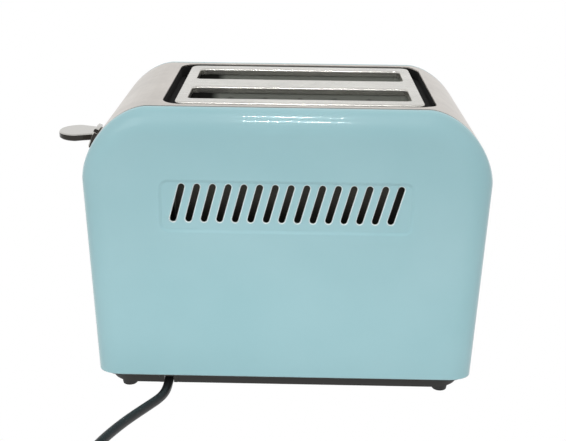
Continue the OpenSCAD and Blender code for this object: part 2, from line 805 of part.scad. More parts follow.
// The control board, upright in the rails of the base
module control_board() place() {
    color("#2f5d3a") translate([board_x + board_t / 2, 0, 0]) across(board_t)
        polygon([
            [board_y0, floor_top + rest_gap], [board_y1, floor_top + rest_gap],
            [board_y1, button_z + 2.2 * button_pitch], [12, button_z + 2.2 * button_pitch],
            [12, knob_z + 18], [board_y0, knob_z + 18]
        ]);
    color("#3a3a3a") for (i = [-1:1])
        translate([board_x - 3, button_y - 3, button_z + i * button_pitch - 3])
            cube([3, 6, 6]);
    color("#22384f") translate([board_x + board_t, 18, floor_top + 34]) cube([14, 18, 20]);
    color("#4a4a4a") for (z = [0:2])
        translate([board_x + board_t, 44, floor_top + 30 + 14 * z])
            rotate([0, 90, 0]) cylinder(r = 4, h = 10);
    color("#c9a86a") translate([board_x + board_t, 16, floor_top + 66]) cube([3, 26, 8]);
}

// The potentiometer on the board, behind the browning knob
module potentiometer() place() color("#7d7a70")
    translate([board_x, 0, knob_z]) rotate([0, -90, 0]) difference() {
        union() {
            cylinder(r = 8.5, h = pot_l - 3);
            cylinder(r = 5, h = pot_l);
        }
        translate([0, 0, 1.5]) cylinder(r = shaft_r + run_gap, h = pot_l);
    }

knob_x = -end_at(knob_z + knob_r) - rest_gap;
module browning_shaft() place() color("#c8c8c4")
    translate([board_x - 2, 0, knob_z]) rotate([0, -90, 0])
        cylinder(r = shaft_r, h = board_x - 2 - knob_x + knob_h - 3);

// The browning knob, fluted, with a raised pointer rib
module browning_knob() place() color("#262524")
    translate([knob_x, 0, knob_z]) rotate([0, -90, 0]) difference() {
        union() {
            cylinder(r = knob_r, h = 2.5);
            translate([0, 0, 2.5])
                cylinder(r1 = knob_r - 1, r2 = knob_r - 2.2, h = knob_h - 3.1);
            translate([0, 0, knob_h - 0.6])
                cylinder(r1 = knob_r - 2.2, r2 = knob_r - 2.8, h = 0.6);
        }
        for (i = [0:23]) rotate(i * 15) translate([knob_r - 0.7, 0, 3.5])
            cylinder(r = 0.9, h = knob_h);
        translate([0, 0, -eps]) cylinder(r = shaft_r + 0.05, h = knob_h - 3 + eps);
        translate([-0.6, 4, knob_h - 0.5]) cube([1.2, knob_r, eps]);
    }

// The guide that the three push buttons slide in
module button_guide() place() color("#2b2a28")
    translate([guide_x, button_y, button_z]) difference() {
        union() {
            translate([0.75, 0, 0]) across(1.5)
                rounded(2 * button_r + 9, 3.2 * button_pitch, 4);
            for (i = [-1:1]) translate([0, 0, i * button_pitch]) rotate([0, 90, 0])
                cylinder(r = button_r + 1.6, h = 4);
        }
        for (i = [-1:1]) translate([-eps, 0, i * button_pitch]) rotate([0, 90, 0])
            cylinder(r = button_r + run_gap, h = 8);
    }

// A push button: domed cap, barrel, collar and stem
module push_button(i) {
    z = button_z + i * button_pitch;
    face = -end_at(z) - cap_out;
    collar = guide_x + 4 + rest_gap;
    stem = board_x - 3 - button_travel - rest_gap;
    color("#cfd0cf") translate([0, button_y, z]) rotate([0, 90, 0]) {
        translate([0, 0, face + 0.8]) cylinder(r = button_r, h = collar - face);
        translate([0, 0, face]) cylinder(r1 = button_r - 0.8, r2 = button_r, h = 0.8);
        translate([0, 0, collar]) cylinder(r = button_r + 1, h = 1.2);
        translate([0, 0, collar + 0.5]) cylinder(r = 2, h = stem - collar - 0.5);
    }
}

module cancel_button() place() push_button(-1);

module reheat_button() place() push_button(0);

module defrost_button() place() push_button(1);

// The sheet crumb tray, with its black pull at the end
module crumb_tray() place() {
    sheet = 0.8;
    tray_x0 = plate_in_l + 6;
    front_x = base_x + rib_out + rest_gap;
    pull_t = 2.6;
    color("#aeaca6") translate([tray_x0, -tray_w / 2, tray_z]) difference() {
        cube([front_x - tray_x0, tray_w, tray_h]);
        translate([sheet, sheet, sheet])
            cube([front_x - tray_x0 - 2 * sheet, tray_w - 2 * sheet, tray_h]);
    }
    color(black) translate([front_x + pull_t / 2, 0, foot_h + 1.5 + 4])
        across(pull_t) rounded(tray_w + 6, 8, 2.5);
}

// The block where the cord's cores end, screwed to the base floor
block_l = 12;
core_pitch = 7;
core_r = 1.6;
module terminal_block() place() color("#d8d2c2")
    translate([rod_x - sleeve_r - 2.5 - block_l, -boss_y - 4, floor_top]) difference() {
        cube([block_l, 3.2 * core_pitch, block_l]);
        for (i = [0:2]) translate([block_l / 2, (i + 0.6) * core_pitch, block_l / 4]) {
            cylinder(r = core_r + 0.2, h = block_l);
            translate([0, 0, block_l / 4]) rotate([0, 90, 0])
                cylinder(r = core_r, h = 2 * block_l, center = true);
        }
    }

// The tapered relief that grips the cord in the trough's wall
module strain_relief() color("#1b1a19") {
    wall_y = relief_y + relief_l + 2;
    neck = relief_root - 1;
    translate([cord_x, relief_y, relief_z]) rotate([-90, 0, 0])
        difference() {
            union() {
                cylinder(r1 = cord_r + 0.7, r2 = relief_root, h = relief_l - 2);
                translate([0, 0, relief_l - 2]) cylinder(r = relief_root + 0.8, h = 4 - rest_gap / 10);
                cylinder(r = neck, h = relief_l + 2 + base_t + 2);
            }
            translate([0, 0, -eps]) cylinder(r = cord_r + 0.05, h = 4 + eps);
        }
}

// The free stretch of the cord, from the relief to the coil.
// Points are chosen by hand along the table, from the cord's exit.
cord_points = [
    [0, -54, 7], [0, -61, 6.9], [0.3, -68, 6.3], [0.2, -75, 5],
    [-0.8, -81.5, 3.8], [-3.4, -88, 3.25], [-7.6, -94.5, 3.2], [-12, -101.5, 3.2],
    [-16.5, -108.5, 3.2], [-21, -116, 3.2], [-25.5, -124.5, 3.2],
    [-30.5, -135, 3.2], [-34.5, -146, 3.2], [-37.5, -157.5, 3.2],
    [-39.5, -169, 3.2], [-40.7, -180, 3.2], [-41, -190, 3.2], [-41, -198, 3.2]
];
cord_route = [for (p = cord_points) [cord_x + p[0], p[1], p[2]]];
module cord_lead() color(black) loft(tube_rings(cord_route, cord_r, 8));

// The put-away length: one unbroken tube wound inwards, then outwards on top
coil_floor = 3.2;
coil_total = 2 * coil_turns + climb_turns;
coil_bend = coil_total * 360;
function coil_radius(u) =
    let (inner = coil_r - coil_step * coil_turns)
        u < coil_turns ? coil_r - coil_step * u
        : u < coil_turns + climb_turns
        ? inner - coil_dip * sin(180 * (u - coil_turns) / climb_turns)
        : inner + coil_step * (u - coil_turns - climb_turns);
function coil_height(u) =
    let (s = min(1, max(0, (u - coil_turns) / climb_turns)))
        coil_floor + layer_step * (1 - cos(180 * s)) / 2;
function coil_point(u) =
    let (a = 180 + 360 * u, r = coil_radius(u))
        [coil_x + r * cos(a), coil_y + r * sin(a), coil_height(u)];
coil_steps = coil_total * coil_rings;
coil_lead_in = [[coil_x - coil_r, -198, coil_floor], [coil_x - coil_r, -201, coil_floor]];
coil_end = coil_point(coil_total);
coil_tail = 7;
coil_path = concat(
    coil_lead_in,
    [for (i = [0:coil_steps]) coil_point(i / coil_rings)],
    [coil_end + [coil_tail / 2, 0, 0], coil_end + [coil_tail, 0, 0]]
);
module cord_coil() color(black) loft(tube_rings(coil_path, cord_r, coil_sides));

// Least gap between stretches of the coil more than half a turn apart
function least(v, i = 0, m = 1e9) = i == len(v) ? m : least(v, i + 1, min(m, v[i]));
coil_gap = least([
    for (i = [0:len(coil_path) - 1]) for (j = [i + coil_rings / 2:len(coil_path) - 1])
        norm(coil_path[i] - coil_path[j]) - cord_d
]);
echo(least_gap_in_coil = coil_gap);  // cord_coil

// The short stretch from the coil to the plug
tail_l = 24;
plug_z = 11;
plug_x = coil_end[0] + coil_tail + tail_l;
tail_route = [
    for (i = [0:3]) let (s = i / 3)
        [coil_end[0] + coil_tail + tail_l * s, coil_end[1],
         coil_end[2] + (plug_z - coil_end[2]) * (1 - cos(180 * s)) / 2]
];
module cord_tail() color(black) loft(tube_rings(tail_route, cord_r, 8));

// The moulded plug: a tapered neck and a flat-sided body
module plug() color(black) translate([plug_x, coil_end[1], plug_z]) {
    body_x = 18;
    body_len = 30;
    rotate([0, 90, 0]) difference() {
        cylinder(r1 = cord_r + 0.8, r2 = 7, h = body_x);
        translate([0, 0, -eps]) cylinder(r = cord_r + 0.05, h = eps);
    }
    hull() {
        translate([body_x, 0, 0]) across(1) rounded(18, 14, 4, $fn = 24);
        translate([body_x + 10, 0, 0]) across(1) rounded(27, 21, 5, $fn = 24);
        translate([body_x + body_len, 0, 0]) across(1) rounded(26, 20, 5, $fn = 24);
    }
}

// Two flat blades and a round earth pin
module plug_blades() color("#d2c9a8") translate([plug_x + 48.5, coil_end[1], plug_z]) {
    for (s = [-1, 1]) translate([0, s * 6.35 - 0.75, -1]) cube([17.5, 1.5, 6.35]);
    translate([0, 0, -6.2]) rotate([0, 90, 0]) cylinder(r = 2.4, h = 20.5);
}

base();
feet();
base_screws();
side_panel_front();
side_panel_back();
top_band();
top_surround();
slot_frame();
slot_liners();
end_plate_left();
end_plate_right();
heat_shield_front();
heat_shield_back();
heater_front_outer();
heater_front_inner();
heater_back_inner();
heater_back_outer();
guard_front_outer();
guard_front_inner();
guard_back_inner();
guard_back_outer();
bread_rack_front();
bread_rack_back();
rack_tie();
carriage();
keeper_plate();
lever_handle();
guide_rod();
rod_bracket();
return_spring();
magnet_core();
magnet_coil();
control_board();
potentiometer();
browning_shaft();
browning_knob();
button_guide();
cancel_button();
reheat_button();
defrost_button();
crumb_tray();
terminal_block();
strain_relief();
cord_lead();
cord_coil();
cord_tail();
plug();
plug_blades();
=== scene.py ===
"""A two-slice pop-up toaster: enamelled side panels, a steel wrap and a black base."""

import math

import bmesh
import bpy
from mathutils import Matrix, Vector, geometry


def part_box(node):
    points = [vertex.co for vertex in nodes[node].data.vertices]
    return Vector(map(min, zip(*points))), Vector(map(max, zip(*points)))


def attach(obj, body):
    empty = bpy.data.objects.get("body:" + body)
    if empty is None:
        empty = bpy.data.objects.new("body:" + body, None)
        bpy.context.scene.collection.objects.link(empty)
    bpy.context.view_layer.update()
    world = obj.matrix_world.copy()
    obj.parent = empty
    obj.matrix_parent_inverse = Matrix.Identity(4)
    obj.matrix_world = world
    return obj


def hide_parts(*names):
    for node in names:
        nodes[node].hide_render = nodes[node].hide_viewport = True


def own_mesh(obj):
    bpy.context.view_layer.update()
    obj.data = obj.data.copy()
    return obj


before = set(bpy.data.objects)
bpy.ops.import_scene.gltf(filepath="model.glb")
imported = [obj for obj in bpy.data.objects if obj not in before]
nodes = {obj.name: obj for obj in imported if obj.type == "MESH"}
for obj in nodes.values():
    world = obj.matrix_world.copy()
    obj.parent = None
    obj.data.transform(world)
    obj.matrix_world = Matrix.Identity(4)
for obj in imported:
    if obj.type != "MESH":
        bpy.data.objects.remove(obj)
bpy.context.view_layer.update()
MM = 0.001

# The camera stands where the photograph was taken: in front of the long side,
# a little to the right, looking down at the toaster.
CAMERA_PLACE = Vector((20.6, -634.3, 332.9)) * MM
CAMERA_YAW = math.radians(0.83)
CAMERA_PITCH = math.radians(20.58)
CAMERA_ROLL = math.radians(-0.66)
CAMERA_LENS = 61.58
CAMERA_SENSOR = 36.0


def new_piece(name, data):
    """An object for some data, in the scene."""
    obj = bpy.data.objects.new(name, data)
    bpy.context.scene.collection.objects.link(obj)
    return obj


def point_camera(place, yaw, pitch, roll):
    """A camera from its heading, its pitch below the horizon and its roll."""
    level = Vector((-math.sin(yaw), math.cos(yaw), 0.0))
    right = Vector((math.cos(yaw), math.sin(yaw), 0.0))
    ahead = level * math.cos(pitch) - Vector((0, 0, math.sin(pitch)))
    down = ahead.cross(right)
    turned_right = right * math.cos(roll) + down * math.sin(roll)
    turned_up = right * math.sin(roll) - down * math.cos(roll)
    data = bpy.data.cameras.new("camera")
    data.lens = CAMERA_LENS
    data.sensor_width = CAMERA_SENSOR
    data.clip_start = 0.01
    camera = new_piece("camera", data)
    turn = Matrix((turned_right, turned_up, -ahead)).transposed()
    camera.matrix_world = Matrix.Translation(place) @ turn.to_4x4()
    bpy.context.scene.camera = camera


point_camera(CAMERA_PLACE, CAMERA_YAW, CAMERA_PITCH, CAMERA_ROLL)


# The mains cord: a round three-core flexible cord with a black PVC jacket,
# extruded smooth with a slight satin. It runs out under the base and over the
# table, and the length that isn't seen is wound into a coil, with its plug.
CORD_D = 6.2 * MM
CORD_X = -62.5
CORD_POINTS = [
    (0, -54, 7), (0, -61, 6.9), (0.3, -68, 6.3), (0.2, -75, 5), (-0.8, -81.5, 3.8),
    (-3.4, -88, 3.25), (-7.6, -94.5, 3.2), (-12, -101.5, 3.2), (-16.5, -108.5, 3.2),
    (-21, -116, 3.2), (-25.5, -124.5, 3.2), (-30.5, -135, 3.2), (-34.5, -146, 3.2),
    (-37.5, -157.5, 3.2), (-39.5, -169, 3.2), (-40.7, -180, 3.2), (-41, -190, 3.2),
    (-41, -198, 3.2),
]
COIL_MIDDLE = (CORD_X - 3.0, -205.0)
COIL_R = 38.0
COIL_STEP = 6.8
COIL_TURNS = 1.375
COIL_CLIMB = 0.5
COIL_DIP = 1.8
COIL_FLOOR = 3.2
COIL_LAYER = 6.8
COIL_STEPS = 48
TAIL_STRAIGHT = 7.0
TAIL_L = 24.0
PLUG_Z = 11.0


def linear(hex_colour):
    """An sRGB hex colour as linear RGBA."""
    parts = [int(hex_colour[i:i + 2], 16) / 255 for i in (1, 3, 5)]
    flat = [p / 12.92 if p <= 0.04045 else ((p + 0.055) / 1.055) ** 2.4 for p in parts]
    return (*flat, 1.0)


def wire(tree, node, **links):
    """Sets a node's inputs, by name or as i and a number: to values, sockets or nodes."""
    for key, value in links.items():
        socket = node.inputs[int(key[1:]) if key[1:].isdigit() else key.replace("_", " ")]
        if isinstance(value, bpy.types.Node):
            value = value.outputs[0]
        if isinstance(value, bpy.types.NodeSocket):
            tree.links.new(value, socket)
        else:
            socket.default_value = value
    return node


def add(tree, kind, settings=None, **links):
    """One node with its settings and inputs; its kind may leave out the tree's prefix."""
    prefix = "" if "Node" in kind else tree.bl_idname.replace("NodeTree", "Node")
    node = tree.nodes.new(prefix + kind)
    for key, value in (settings or {}).items():
        setattr(node, key, value)
    return wire(tree, node, **links)


def new_material(name, colour, rough, **values):
    """A material with its Principled shader's own sockets set."""
    material = bpy.data.materials.new(name)
    material.use_nodes = True
    tree = material.node_tree
    shader = wire(tree, tree.nodes["Principled BSDF"], Base_Color=linear(colour),
                  Roughness=rough, **values)
    return material, tree, shader


def object_place(tree, scale=(1, 1, 1)):
    """The piece's own coordinates, stretched by a scale."""
    place = add(tree, "TexCoord").outputs["Object"]
    return add(tree, "Mapping", Vector=place, Scale=scale)


def noise(tree, scale, detail, stretch=(1, 1, 1), rough=0.5):
    """Noise over a piece, at a scale to the metre."""
    return add(tree, "TexNoise", Vector=object_place(tree, stretch), Scale=scale,
               Detail=detail, Roughness=rough)


def grained(name, colour, rough, grain, strength, depth, detail=2.0, **values):
    """A material of one colour with a fine grain of bumps."""
    material, tree, shader = new_material(name, colour, rough, **values)
    wire(tree, shader, Normal=add(tree, "Bump", Height=noise(tree, grain, detail),
                                  Strength=strength, Distance=depth))
    return material


def finish_mesh(obj, material, body="housing", slot=None, replaces=()):
    """Gives a piece its material, its body and the nodes it stands for; slot is not used."""
    obj.data.materials.clear()
    obj.data.materials.append(material)
    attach(obj, body)
    if replaces:
        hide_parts(*replaces)
    return obj


def curve_piece(name, points, radius):
    """A round cord through a list of points, in metres."""
    data = bpy.data.curves.new(name, "CURVE")
    data.dimensions = "3D"
    data.resolution_u = 6
    data.bevel_depth = radius
    data.bevel_resolution = 5
    data.use_fill_caps = True
    spline = data.splines.new("NURBS")
    spline.points.add(len(points) - 1)
    for spline_point, p in zip(spline.points, points):
        spline_point.co = (*p, 1.0)
    spline.order_u = 4
    spline.use_endpoint_u = True
    return new_piece(name, data)


def coil_radius(u):
    """The coil's radius after u turns: in, dipped over the climb, and out again."""
    inner = COIL_R - COIL_STEP * COIL_TURNS
    if u < COIL_TURNS:
        return COIL_R - COIL_STEP * u
    if u < COIL_TURNS + COIL_CLIMB:
        return inner - COIL_DIP * math.sin(math.pi * (u - COIL_TURNS) / COIL_CLIMB)
    return inner + COIL_STEP * (u - COIL_TURNS - COIL_CLIMB)


def coil_point(u):
    """A point of the coil after u turns, in millimetres."""
    share = min(1.0, max(0.0, (u - COIL_TURNS) / COIL_CLIMB))
    angle = math.pi * (1 + 2 * u)
    r = coil_radius(u)
    return (COIL_MIDDLE[0] + r * math.cos(angle), COIL_MIDDLE[1] + r * math.sin(angle),
            COIL_FLOOR + COIL_LAYER * (1 - math.cos(math.pi * share)) / 2)


coil_total = 2 * COIL_TURNS + COIL_CLIMB
coil_line = [coil_point(i / COIL_STEPS) for i in range(round(coil_total * COIL_STEPS) + 1)]
coil_end = coil_line[-1]
tail_start = coil_end[0] + TAIL_STRAIGHT
tail_line = [(tail_start + TAIL_L * s, coil_end[1],
              coil_end[2] + (PLUG_Z - coil_end[2]) * (1 - math.cos(math.pi * s)) / 2)
             for s in (0, 0.25, 0.5, 0.75, 1)]
cord_points = [(CORD_X + x, y, z) for x, y, z in CORD_POINTS]
cord_line = [tuple(c * MM for c in p) for p in cord_points + coil_line + tail_line]
# Plasticised PVC, extruded: black, with a broad soft highlight over the die's marks
jacket = grained("pvc_jacket", "#1b1c1d", 0.38, 650.0, 0.25, 0.0002, 3.0, IOR=1.52)
cord = curve_piece("mains_cord", cord_line, CORD_D / 2)
plug_x = tail_line[-1][0]
plug_y = coil_end[1]


def lofted(name, sections, caps=True):
    """A skin over closed sections of equal point counts, in metres."""
    mesh = bmesh.new()
    rings = [[mesh.verts.new(p) for p in section] for section in sections]
    for low, high in zip(rings, rings[1:]):
        for i in range(len(low)):
            j = (i + 1) % len(low)
            mesh.faces.new((low[i], low[j], high[j], high[i]))
    if caps:
        mesh.faces.new(rings[0][::-1])
        mesh.faces.new(rings[-1])
    bmesh.ops.recalc_face_normals(mesh, faces=mesh.faces)
    data = bpy.data.meshes.new(name)
    mesh.to_mesh(data)
    mesh.free()
    return new_piece(name, data)


def rounded_ring(width, height, radius, steps=5):
    """A rounded rectangle about the origin, as points of two values."""
    ring = []
    for k, (sx, sy) in enumerate(((1, 1), (-1, 1), (-1, -1), (1, -1))):
        for i in range(steps + 1):
            a = math.radians(90 * k + 90 * i / steps)
            ring.append((sx * (width / 2 - radius) + radius * math.cos(a),
                         sy * (height / 2 - radius) + radius * math.sin(a)))
    return ring


def shade_smooth(obj, angle=30.0):
    """Smooth shading, with edges sharper than an angle kept crisp."""
    obj.data.polygons.foreach_set("use_smooth", [True] * len(obj.data.polygons))
    mesh = bmesh.new()
    mesh.from_mesh(obj.data)
    limit = math.radians(angle)
    for edge in mesh.edges:
        edge.smooth = len(edge.link_faces) == 2 and edge.calc_face_angle(0.0) < limit
    mesh.to_mesh(obj.data)
    mesh.free()


# Sections of the plug along its length: distance, width, height, corner radius
PLUG_SECTIONS = [
    (0.0, 7.8, 7.8, 3.8), (1.2, 8.6, 8.6, 4.2), (6.0, 9.8, 9.6, 4.6), (12.0, 12.0, 11.0, 5.0),
    (17.0, 15.5, 12.8, 5.2), (21.0, 20.0, 15.6, 5.4), (26.0, 25.2, 19.4, 5.6),
    (30.0, 26.8, 20.8, 5.4), (38.0, 27.0, 21.0, 5.2), (46.0, 26.4, 20.4, 5.0),
    (47.9, 25.6, 19.6, 4.6), (48.5, 24.4, 18.4, 4.0),
]
plug_rings = []
for along, width, height, radius in PLUG_SECTIONS:
    plug_rings.append([((plug_x + along) * MM, (plug_y + y) * MM, (PLUG_Z + z) * MM)
                       for y, z in rounded_ring(width, height, radius)])
plug_body = lofted("plug_body", plug_rings)
shade_smooth(plug_body, 40)
finish_mesh(plug_body, jacket, slot="cord_jacket", replaces=("plug",))
finish_mesh(cord, jacket, slot="cord_jacket", replaces=("cord_lead", "cord_coil", "cord_tail"))
# The table's far part isn't mirrored in the enamel, as in the photograph
for piece in (cord, plug_body, nodes["plug_blades"]):
    piece.visible_glossy = False


# The side panels: drawn steel dishes under glossy stoved enamel, with a pressed
# field and a row of slanted vents. Their rims are rolled in, at the seam beside
# the wrap and along the skirt, and all follow the casing's own outline.
band_low, band_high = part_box("top_band")
panel_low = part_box("side_panel_front")[0]
BODY_X = (band_low[0] + band_high[0]) / 2
END_X = (band_high[0] - band_low[0]) / 2
TOP_Z = band_high[2]
SKIRT_Z = band_low[2]
END_LEAN = 4.0 * MM
CORNER_L = 41.5 * MM
CORNER_H = 46.5 * MM
CORNER_FULL = 1.74
SHOULDER_R = 16.0 * MM
FACE_Y = -panel_low[1]
SEAM_Y = 65.5 * MM
RIM_R = 1.1 * MM
SHEET = 1.0 * MM
WAIST_Z = TOP_Z - CORNER_H
FOOT_X = END_X - END_LEAN
VENT_N = 15
VENT_PITCH = 9.6 * MM
VENT_H = 24.7 * MM
VENT_W = 3.9 * MM
VENT_LEAN = math.radians(15)
VENT_Z = 133.5 * MM
VENT_ROLL = 0.8 * MM
FIELD_L = 155.0 * MM
FIELD_H = 32.5 * MM
FIELD_D = 0.9 * MM
FIELD_R = 5.0 * MM
FIELD_SLOPE = 2.6 * MM
FIELD_Z = VENT_Z - 2.0 * MM
FACE_IN = 3.0 * MM
RIM_GAP = 0.3 * MM
# The dark strip of painted shade in each seam: its inset, its span across and its thickness
SEAM_IN = 0.3 * MM
SEAM_SPAN = (65.45 * MM, 66.5 * MM)
SEAM_T = 0.4 * MM
CORE = 0.01 * MM
SIDES = ((-1, "front"), (1, "back"))


def outline(inset, corner_steps=40, rise_steps=10, top_steps=12):
    """The casing's outline at an inset: points (x, z) and outward normals, right foot first."""
    points = []
    lean = Vector((WAIST_Z - SKIRT_Z, -END_LEAN)).normalized()
    for i in range(rise_steps):
        s = i / rise_steps
        points.append((FOOT_X + END_LEAN * s - inset, SKIRT_Z + (WAIST_Z - SKIRT_Z) * s, lean))
    power = 2 - 2 / CORNER_FULL
    for i in range(corner_steps + 1):
        a = math.pi / 2 * i / corner_steps
        c, s = max(0.0, math.cos(a)), max(0.0, math.sin(a))
        normal = Vector((c ** power / CORNER_L, s ** power / CORNER_H)).normalized()
        points.append((END_X - CORNER_L + (CORNER_L - inset) * c ** (2 / CORNER_FULL),
                       WAIST_Z + (CORNER_H - inset) * s ** (2 / CORNER_FULL), normal))
    for i in range(1, top_steps):
        x = (END_X - CORNER_L) * (1 - i / top_steps)
        points.append((x, TOP_Z - inset, Vector((0, 1))))
    middle = [(0.0, TOP_Z - inset, Vector((0, 1)))]
    left = [(-x, z, Vector((-n.x, n.y))) for x, z, n in reversed(points)]
    return points + middle + left


def inside(point, ring):
    """Whether a flat point lies inside a ring."""
    x, y = point
    found = False
    for (x0, y0), (x1, y1) in zip(ring, ring[1:] + ring[:1]):
        if (y0 > y) != (y1 > y) and x < (x1 - x0) * (y - y0) / (y1 - y0) + x0:
            found = not found
    return found


def triangulate(rings, loose=()):
    """Triangles over the first ring less the others, with loose points between them."""
    flat = [Vector(p) for ring in rings for p in ring] + [Vector(p) for p in loose]
    edges = []
    for ring in rings:
        start = len(edges)
        edges += [(start + i, start + (i + 1) % len(ring)) for i in range(len(ring))]
    result = geometry.delaunay_2d_cdt(flat, edges, [], 0, 1e-7)
    spots = result[0]
    kept = []
    for a, b, c in result[2]:
        middle = (spots[a] + spots[b] + spots[c]) / 3
        if inside(middle, rings[0]) and not any(inside(middle, hole) for hole in rings[1:]):
            kept.append((a, b, c))
    return spots, result[3], kept


def quarter(steps):
    """The angles of a quarter turn in even steps."""
    return [math.pi / 2 * k / steps for k in range(steps + 1)]


def leaning(ring, core, share):
    """A ring's points, each with a vector of a length away from its core ring."""
    return [(x, y, Vector((x - cx, y - cy)).normalized() * share)
            for (x, y), (cx, cy) in zip(ring, core)]


class Sheet:
    """Collects the points and faces of a bent sheet with its exact normals."""

    def __init__(self):
        self.points = []
        self.normals = []
        self.faces = []
        # Rings whose points get the painted highlight
        self.painted_highlight = []

    def point(self, place, normal):
        """Adds a point and gives its number."""
        self.points.append(Vector(place))
        self.normals.append(Vector(normal).normalized())
        return len(self.points) - 1

    def strips(self, rows, closed=False):
        """Joins each row of numbers to the next by quads."""
        for first, second in zip(rows, rows[1:]):
            for i in range(len(first) if closed else len(first) - 1):
                j = (i + 1) % len(first)
                self.faces.append((first[i], first[j], second[j], second[i]))

    def fill(self, rings):
        """Fills the first ring less the others, all flat."""
        flat = [i for ring in rings for i in ring]
        facing = [abs(v) for v in self.normals[flat[0]]]
        across = [axis for axis in range(3) if axis != facing.index(max(facing))]
        loops = [[Vector([self.points[i][axis] for axis in across]) for i in ring]
                 for ring in rings]
        spots, known, triangles = triangulate(loops)
        numbers = []
        for spot, origin in zip(spots, known):
            if origin:
                numbers.append(flat[origin[0]])
                continue
            place = self.points[flat[0]].copy()
            place[across[0]], place[across[1]] = spot
            numbers.append(self.point(place, self.normals[flat[0]]))
        self.faces += [tuple(numbers[i] for i in triangle) for triangle in triangles]

    def piece(self, name, thickness):
        """The finished sheet: both skins and the cut edges between them."""
        count = len(self.points)
        faces = []
        for face in self.faces:
            a, b, c = (self.points[i] for i in face[:3])
            facing = (b - a).cross(c - a).dot(self.normals[face[0]])
            faces.append(face if facing > 0 else face[::-1])
        directed = {(i, j) for face in faces for i, j in zip(face, face[1:] + face[:1])}
        inner = [p - n * thickness for p, n in zip(self.points, self.normals)]
        skins = faces + [tuple(i + count for i in face[::-1]) for face in faces]
        cuts = sorted((j, i, i + count, j + count) for i, j in directed if (j, i) not in directed)
        data = bpy.data.meshes.new(name)
        data.from_pydata([tuple(p) for p in self.points + inner], [], skins + cuts)
        data.polygons.foreach_set("use_smooth", [True] * len(data.polygons))
        bent = self.normals + [-n for n in self.normals]
        data.normals_split_custom_set([
            tuple(polygon.normal if polygon.index >= len(skins)
                  else bent[data.loops[loop].vertex_index])
            for polygon in data.polygons for loop in polygon.loop_indices])
        # Points of those rings carry an edge attribute, which the enamel paints pale as a painted
        # highlight
        painted_highlight = {i for ring in self.painted_highlight for i in ring}
        edge = data.attributes.new("edge", "FLOAT", "POINT")
        edge.data.foreach_set("value", [float(i % count in painted_highlight) for i in range(2 * count)])
        return new_piece(name, data)


def vent_ring(index, grow, steps=8):
    """The outline of one vent, grown by a margin, as points (x, z)."""
    middle = (index - (VENT_N - 1) / 2) * VENT_PITCH
    radius = VENT_W / 2 + grow
    reach = (VENT_H - VENT_W) / 2 / math.cos(VENT_LEAN)
    along = Vector((math.sin(VENT_LEAN), math.cos(VENT_LEAN)))
    across = Vector((math.cos(VENT_LEAN), -math.sin(VENT_LEAN)))
    ring = []
    for end in (1, -1):
        for i in range(steps + 1):
            a = math.pi * i / steps
            round_end = (across * math.cos(a) + along * math.sin(a)) * radius * end
            spot = along * (end * reach) + round_end
            ring.append((middle + spot.x, VENT_Z + spot.y))
    return ring


def panel_sheet(name, side):
    """One side panel; side is -1 for the front and 1 for the back."""
    sheet = Sheet()
    depth = FACE_Y - SEAM_Y - RIM_R
    spin = -side

    def put(x, z, y, nx, nz, ny):
        return sheet.point((BODY_X + x * spin, side * y, z), (nx * spin, side * ny, nz))

    def row(inset, y, share, out):
        """One row along the outline, with a share of its normals and a part outwards."""
        return [put(x, z, y, n.x * share, n.y * share, out) for x, z, n in outline(inset)]

    # The rim in its seam, the shoulder and the flat face
    rows = [row(RIM_R * (1 - math.sin(a)), SEAM_Y + RIM_GAP + RIM_R * (1 - math.cos(a)),
                math.sin(a), -math.cos(a)) for a in quarter(6)[:-1]]
    rows += [row(SHOULDER_R * (1 - math.cos(a)),
                 SEAM_Y + RIM_R + RIM_GAP + (depth - RIM_GAP) * math.sin(a),
                 math.cos(a) / SHOULDER_R, math.sin(a) / depth) for a in quarter(20)]
    rows.append(row(SHOULDER_R + FACE_IN, FACE_Y, 0, 1))
    sheet.strips(rows)

    # The skirt's rolled edge
    rolls = [[r[0] for r in rows] + [r[-1] for r in reversed(rows)]]
    for a in quarter(4)[1:]:
        edge = []
        for i in rolls[0]:
            n = Vector((sheet.normals[i].x, sheet.normals[i].y, 0)).normalized()
            place = sheet.points[i] - n * RIM_R * (1 - math.cos(a))
            edge.append(sheet.point(place - Vector((0, 0, RIM_R * math.sin(a))),
                                    n * math.cos(a) - Vector((0, 0, math.sin(a)))))
        rolls.append(edge)
    sheet.strips(rolls)

    # The pressed field's sloping edge
    slope = math.pi * FIELD_D / (2 * FIELD_SLOPE)
    core = rounded_ring(FIELD_L - 2 * FIELD_R, FIELD_H - 2 * FIELD_R, CORE, 6)
    field = []
    for s in [k / 8 for k in range(9)]:
        grow = FIELD_SLOPE * (0.5 - s)
        drop = FIELD_D * (1 - math.cos(math.pi * s)) / 2
        ring = rounded_ring(FIELD_L + 2 * grow, FIELD_H + 2 * grow, FIELD_R + grow, 6)
        field.append([put(x, FIELD_Z + z, FACE_Y - drop, n.x, n.y, 1)
                      for x, z, n in leaning(ring, core, -slope * math.sin(math.pi * s))])
    sheet.strips(field, closed=True)
    sheet.fill([rows[-1], field[0]])

    # The vents, their edges rolled in
    vents = []
    for index in range(VENT_N):
        core = vent_ring(index, CORE - VENT_W / 2)
        rings = []
        for a in quarter(4):
            ring = vent_ring(index, VENT_ROLL * (1 - math.sin(a)))
            drop = FIELD_D + VENT_ROLL * (1 - math.cos(a))
            rings.append([put(x, z, FACE_Y - drop, n.x, n.y, math.cos(a) + 0.001)
                          for x, z, n in leaning(ring, core, -math.sin(a))])
        sheet.strips(rings, closed=True)
        # The rolled rings get the painted highlight, a pale line along each vent's edge
        sheet.painted_highlight += rings[1:]
        vents.append(rings[0])
    sheet.fill([field[-1]] + vents)
    return sheet.piece(name, SHEET)


def ramp(tree, factor, *stops):
    """Two colours blended over a factor, each with its place."""
    node = add(tree, "ValToRGB", Fac=factor)
    for element, (position, colour) in zip(node.color_ramp.elements, stops):
        element.position = position
        element.color = colour
    return node


